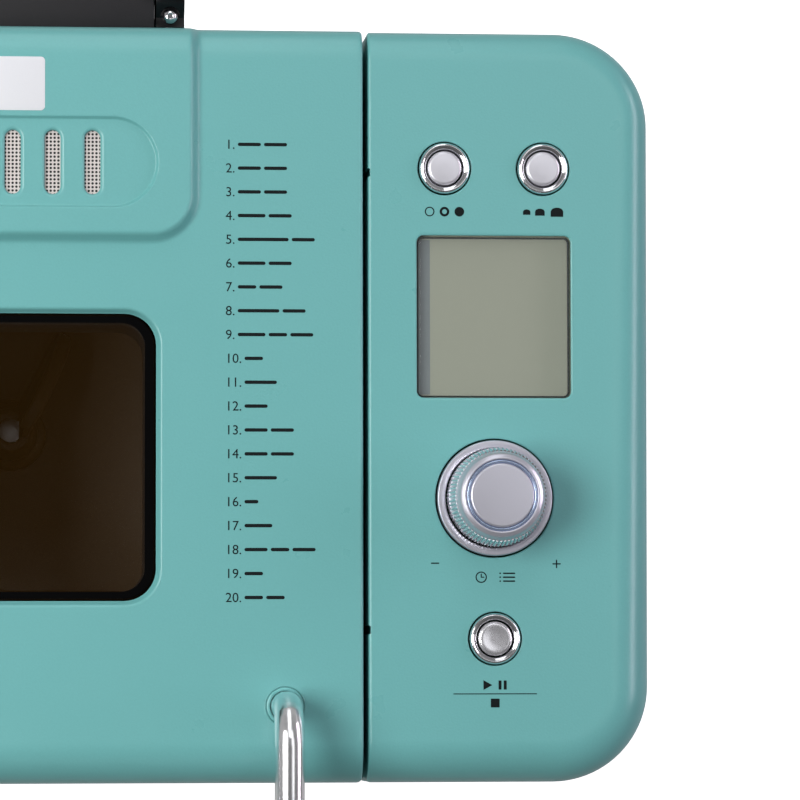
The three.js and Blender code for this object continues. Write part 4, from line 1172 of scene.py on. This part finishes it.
def makePrints():
    p = prints
    z = lidTop + 0.03
    slabs = []
    for row, words in enumerate(p["rows"]):
        y = p["firstY"] - row * p["pitch"]
        digits, width = textSlabs(str(row + 1) + ".", p["rowX"], y, p["digitHeight"], z)
        slabs.append(digits)
        x = p["rowX"] + width + 1.0
        for letters in words:
            slabs.append(bar(x, x + letters * p["letter"], y - 0.1, p["barHeight"], z))
            x += letters * p["letter"] + p["space"]
    hand(slabsPiece("programMarks", slabs, printInk), "lid", "black_plastic")

    z = hoodTop + 0.03
    color, weight, start = (buttonSpots[n] for n in ("color", "weight", "start"))
    slabs = []
    y = color.y - 13.4
    for i, inner in enumerate((1.15, 0.75, 0.0)):  # three shades, light to dark
        x = color.x - 4.6 + 4.6 * i
        slabs.append(ringSlab(x, y, 1.5, inner, z) if inner else shapeSlab(circleLoop((x, y), 1.5, 24), z))
    for x, size in ((weight.x - 5.0, 1.15), (weight.x - 0.9, 1.5), (weight.x + 4.4, 1.95)):  # three loaf sizes
        slabs.append(shapeSlab(loafLoop(x, y, size), z))
    x, y = knobSpot.x, knobSpot.y - 24.3  # clock and list for the dial
    slabs.append(ringSlab(x - 4.2, y, 1.75, 1.4, z))
    slabs.append(bar(x - 4.35, x - 3.2, y, 0.32, z))
    slabs.append(shapeSlab(rectLoop((x - 4.2, y + 0.5), 0.16, 0.6, 0.1, 2), z))
    for i in range(3):
        slabs.append(bar(x + 1.4, x + 1.9, y + 1.2 - 1.2 * i, 0.5, z))
        slabs.append(bar(x + 2.5, x + 6.3, y + 1.2 - 1.2 * i, 0.45, z))
    slabs.append(bar(knobSpot.x - 19.7, knobSpot.x - 17.1, knobSpot.y - 20, 0.4, z))
    slabs.append(bar(knobSpot.x + 17.8, knobSpot.x + 20.4, knobSpot.y - 20.2, 0.4, z))
    slabs.append(shapeSlab(rectLoop((knobSpot.x + 19.1, knobSpot.y - 20.2), 0.2, 1.3, 0.1, 2), z))
    x, y = start.x, start.y - 14.2
    slabs.append(shapeSlab([(x - 3.6, y - 1.5), (x - 0.9, y), (x - 3.6, y + 1.5)], z))
    slabs.append(shapeSlab(rectLoop((x + 1.5, y), 0.45, 1.4, 0.1, 2), z))
    slabs.append(shapeSlab(rectLoop((x + 3.1, y), 0.45, 1.4, 0.1, 2), z))
    slabs.append(bar(x - 12.9, x + 12.9, start.y - 16.9, 0.3, z))
    slabs.append(shapeSlab(rectLoop((x, start.y - 19.7), 1.35, 1.35, 0.15, 2), z))
    hand(slabsPiece("controlMarks", slabs, printInk), "housing", "black_plastic")

    label = {"right": lidX + 9.75, "left": lidX - 28.3, "low": 89.2, "high": 105.7}
    z = lidTop + lidShape["humpRise"]
    middle = ((label["left"] + label["right"]) / 2, (label["low"] + label["high"]) / 2)
    half = ((label["right"] - label["left"]) / 2, (label["high"] - label["low"]) / 2)
    rings = insetRings(*half, [(0, 1.3, z + 0.01), (0, 1.3, z + 0.1), (0.08, 1.25, z + 0.14)])
    hand(loftPiece("blankLabel", middle, rings, blankLabel, 6), "lid", "lid_plastic")


makePrints()
print("marks made")


# ---------- chamber, pan and drive ----------

def makePan():
    low, middle = cad("bread_pan")[::2]
    x, y = middle.x, middle.y
    floor, top = low.z, 216.0
    base = (75.0, 58.0)
    mouth = (78.0, 63.0)
    wall = 1.6
    inside = insetRings(*base, [(9, 13, floor + wall + 0.4), (4.5, 17, floor + 3.0), (2.4, 19, floor + 6.5)])
    rim = insetRings(*mouth, [(wall, 19, top - 2.5), (0.6, 20, top - 0.4), (-2.6, 23, top), (-3.8, 24.5, top - 0.6),
                              (-4, 25, top - 1.6), (-3.4, 24.5, top - 2.6), (-1.6, 22.5, top - 2.8),
                              (-0.2, 20, top - 3.6)])
    outside = insetRings(*base, [(-0.1, 20, floor + 7), (1.6, 19, floor + 2.2), (5.5, 16, floor + 0.2)])
    rings = [(20, 20, 8, floor + 3.0)] + inside + rim + outside + [(20, 20, 8, floor)]
    hand(loftPiece("panBody", (x, y), rings, panCoating, 14), "pan", "pan_coating", "bread_pan")
    boss = turnedPiece("panBoss", [(4.6, 0), (12.5, 0, 0.6), (12.2, 5.5, 1.5), (8.3, 8, 1.0), (4.6, 8), (4.6, 0)],
                       (x, y, floor + 1), panCoating, 48)
    hand(boss, "pan", "pan_coating")
    for side, name in ((-1, "left"), (1, "right")):
        loop = rectLoop((y, 219), 7, 5, 4.2, 6)
        points, faces = slab(loop, 78.6, 81.4)
        ear = meshPiece("panEar_" + name, [(x + side * p[2], p[0], p[1]) for p in points], faces, panCoating)
        hand(ear, "pan", "pan_coating")
    bail = cad("pan_bail")
    reach, z = bail[0].y + 2, bail[2].z
    path = [(-77.5, 0), (-86, 0)]
    for i in range(13):
        angle = math.pi / 2 * i / 12
        path.append((-86 + 34 * (1 - math.cos(angle)), reach + 34 * (1 - math.sin(angle))))
    path += [(-px, py) for px, py in path[::-1]]
    wire = rodPiece("panBail", [(x + px, y + py, z) for px, py in path], 2, 3, drawnSteel, 20)
    hand(wire, "bail", "steel", "pan_bail")
    for row in (
        ("pan_base_ring", drawnSteel, "pan", "steel", 0.3), ("shaft_bushing", sinteredBronze, "pan", "bronze", 0.2),
        ("shaft_seal", footRubber, "pan", "belt_rubber", 0.1), ("pan_shaft", drawnSteel, "paddle", "steel", 0.3),
        ("kneading_paddle", panCoating, "paddle", "pan_coating", 0.5),
    ):
        softened(*row)


def makeChamber():
    low, high, middle = cad("chamber_liner")
    x, y = middle.x, middle.y
    halfX, halfY, corner, sheet = 95.8, 88.8, 18.0, 1.2
    hole = 13.4  # half width of the round hole in the floor
    floor, top = low.z + sheet, high.z
    walls = insetRings(halfX, halfY, [
        (6, corner - 5, floor), (1.6, corner - 1, floor + 1.6), (0, corner, floor + 6), (0, corner, top - 1.4),
        (-0.5, corner + 0.5, top - 0.3), (-1.6, corner + 1.6, top), (-6, corner + 6, top), (-6, corner + 6, top - 1.2),
        (-sheet, corner + sheet, top - 1.4), (-sheet, corner + sheet, low.z + 3), (3, corner - 2, low.z)])
    rings = [(hole, hole, hole - 0.1, floor)] + walls + [(hole, hole, hole - 0.1, low.z)]
    liner = loftPiece("chamberLiner", (x, y), rings, rolledSheet, 14, closed=True)
    hand(liner, "housing", "steel", "chamber_liner")
    heater = cad("heating_element")
    end, runX, runY, z = heater[1].x - x, 88, 80, heater[2].z
    leg = 14  # half the gap between the two cold ends
    path = [(end, -leg), (runX, -leg), (runX, -runY), (-runX, -runY),
            (-runX, runY), (runX, runY), (runX, leg), (end, leg)]
    element = rodPiece("heaterTube", [(x + px, y + py, z) for px, py in path], 3.2, 7, heaterSheath, 24)
    hand(element, "housing", "steel", "heating_element")
    clip, faces = slab(rectLoop((0, 0), 5.5, 6.5, 1.2, 3), -0.5, 0.5)
    template = meshPiece("heaterClipTemplate", clip, faces, rolledSheet)
    template.data.transform(Matrix.Translation((0, 0, -0.0045)))
    spots = [(x + px, y + py, z) for px in (-45, 45) for py in (-runY - 1.5, runY + 1.5)]
    hand(repeatedPiece("heaterClips", template, spots, rolledSheet), "housing", "steel")
    for row in (
        ("temperature_probe", drawnSteel, "housing", "steel", 0.3),
        ("heat_shield", rolledSheet, "housing", "steel", 0), ("pan_socket", drawnSteel, "housing", "steel", 0.4),
    ):
        softened(*row)


def makeDrive():
    for row in (
        ("drive_frame", rolledSheet, "housing", "steel", 0.3),
        ("drive_bearing", sinteredBronze, "housing", "bronze", 0.3),
        ("drive_shaft", drawnSteel, "drive", "steel", 0.3), ("drive_coupling", castAlloy, "drive", "steel", 0.4),
        ("large_pulley", castAlloy, "drive", "pulley_alloy", 0.4),
        ("motor_pulley", castAlloy, "rotor", "pulley_alloy", 0.2),
        ("drive_belt", footRubber, "housing", "belt_rubber", 0.3), ("motor", rolledSheet, "housing", "steel", 0.8),
        ("control_board", boardMask, "housing", "circuit_board", 0.1),
        ("power_board", boardMask, "housing", "circuit_board", 0.3),
        ("display_module", innerPlastic, "housing", "display", 0.4),
        ("encoder_body", drawnSteel, "housing", "steel", 0.3), ("encoder_shaft", drawnSteel, "knob", "steel", 0.2),
        ("hinge_pin", drawnSteel, "housing", "steel", 0.3),
    ):
        softened(*row)


makePan()
makeChamber()
makeDrive()
print("inside made")


# ---------- floor, light and camera ----------

studio = {
    "distance": 1400, "nadir": (-47.5, -84.4), "aim": (75.0, 1.25), "roll": -0.11, "lens": 206.5,
    "left": {"spot": (-0.6, 0.02, 1.12), "size": (0.62, 0.5), "power": 9.0, "color": (1.0, 0.985, 0.965)},
    "right": {"spot": (0.5, 0.2, 1.55), "size": (0.95, 0.42), "power": 1.4, "color": (0.99, 0.99, 1.0)},
    "back": {"spot": (0.0, 1.0, 1.15), "size": (0.5, 1.6), "power": 3.6, "color": (0.98, 0.99, 1.0)},
    "side": {"spot": (1.15, 0.2, 0.62), "size": (0.9, 0.25), "power": 4.4, "color": (1.0, 0.86, 0.97)},
    "skyTop": 0.16, "skySide": 0.39, "skyFront": 0.5, "floorGlow": 1.0,
}


def areaLight(name, spot, aim, size, power, color):
    light = bpy.data.lights.new(name, "AREA")
    light.shape = "RECTANGLE"
    light.size, light.size_y = size
    light.energy = power
    light.color = color
    holder = bpy.data.objects.new(name, light)
    holder.location = spot
    holder.rotation_euler = (Vector(aim) - Vector(spot)).to_track_quat("-Z", "Y").to_euler()
    bpy.context.scene.collection.objects.link(holder)


def makeStudio():
    s = studio
    floorMaterial = bpy.data.materials.new("paleFloor")
    floorMaterial.use_nodes = True
    tree = floorMaterial.node_tree
    bsdf = tree.nodes["Principled BSDF"]
    bsdf.inputs["Base Color"].default_value = (0.6, 0.6, 0.6, 1)
    bsdf.inputs["Roughness"].default_value = 0.9
    bsdf.inputs["Emission Color"].default_value = (1, 1, 1, 1)
    seen = addNode(tree, "ShaderNodeLightPath").outputs["Is Camera Ray"]
    tree.links.new(maths(tree, "MULTIPLY", seen, s["floorGlow"]), bsdf.inputs["Emission Strength"])
    floorMesh = bpy.data.meshes.new("floor")
    reach = 6
    floorMesh.from_pydata([(-reach, -reach, 0), (reach, -reach, 0), (reach, reach, 0), (-reach, reach, 0)], [],
                          [(0, 1, 2, 3)])
    floorMesh.materials.append(floorMaterial)
    floor = bpy.data.objects.new("floor", floorMesh)
    floor.location.z = -0.0002
    bpy.context.scene.collection.objects.link(floor)
    world = bpy.data.worlds.new("studioSky")
    bpy.context.scene.world = world
    world.use_nodes = True
    tree = world.node_tree
    up = addNode(tree, "ShaderNodeSeparateXYZ", {0: addNode(tree, "ShaderNodeTexCoord").outputs["Generated"]})
    ramp = addNode(tree, "ShaderNodeValToRGB", {0: up.outputs[2]})
    ramp.color_ramp.elements[0].position = 0.05
    ramp.color_ramp.elements[0].color = tone(*[s["skySide"]] * 3)
    ramp.color_ramp.elements[1].position = 0.85
    ramp.color_ramp.elements[1].color = tone(*[s["skyTop"]] * 3)
    front = addNode(tree, "ShaderNodeMapRange", {0: up.outputs[1], 1: -0.7, 2: 0.3, 3: s["skyFront"], 4: 1.0})
    tree.links.new(ramp.outputs[0], tree.nodes["Background"].inputs[0])
    tree.links.new(front.outputs[0], tree.nodes["Background"].inputs[1])
    for name in ("left", "right", "back", "side"):
        lamp = s[name]
        areaLight(name + "Light", lamp["spot"], (0.0, 0.0, 0.27), lamp["size"], lamp["power"], lamp["color"])
    camera = bpy.data.cameras.new("camera")
    camera.lens = s["lens"]
    camera.sensor_width = 36
    camera.clip_start = 0.05
    holder = bpy.data.objects.new("camera", camera)
    spot = Vector((s["nadir"][0], s["nadir"][1], lidTop + s["distance"])) * mm
    aim = Vector((s["aim"][0], s["aim"][1], lidTop)) * mm
    back = (spot - aim).normalized()
    right = Vector((0, 1, 0)).cross(back).normalized()
    turn = Matrix((right, back.cross(right), back)).transposed() @ Matrix.Rotation(math.radians(s["roll"]), 3, "Z")
    holder.matrix_world = Matrix.Translation(spot) @ turn.to_4x4()
    bpy.context.scene.collection.objects.link(holder)
    bpy.context.scene.camera = holder
    bpy.context.scene.view_settings.view_transform = "Standard"


makeStudio()
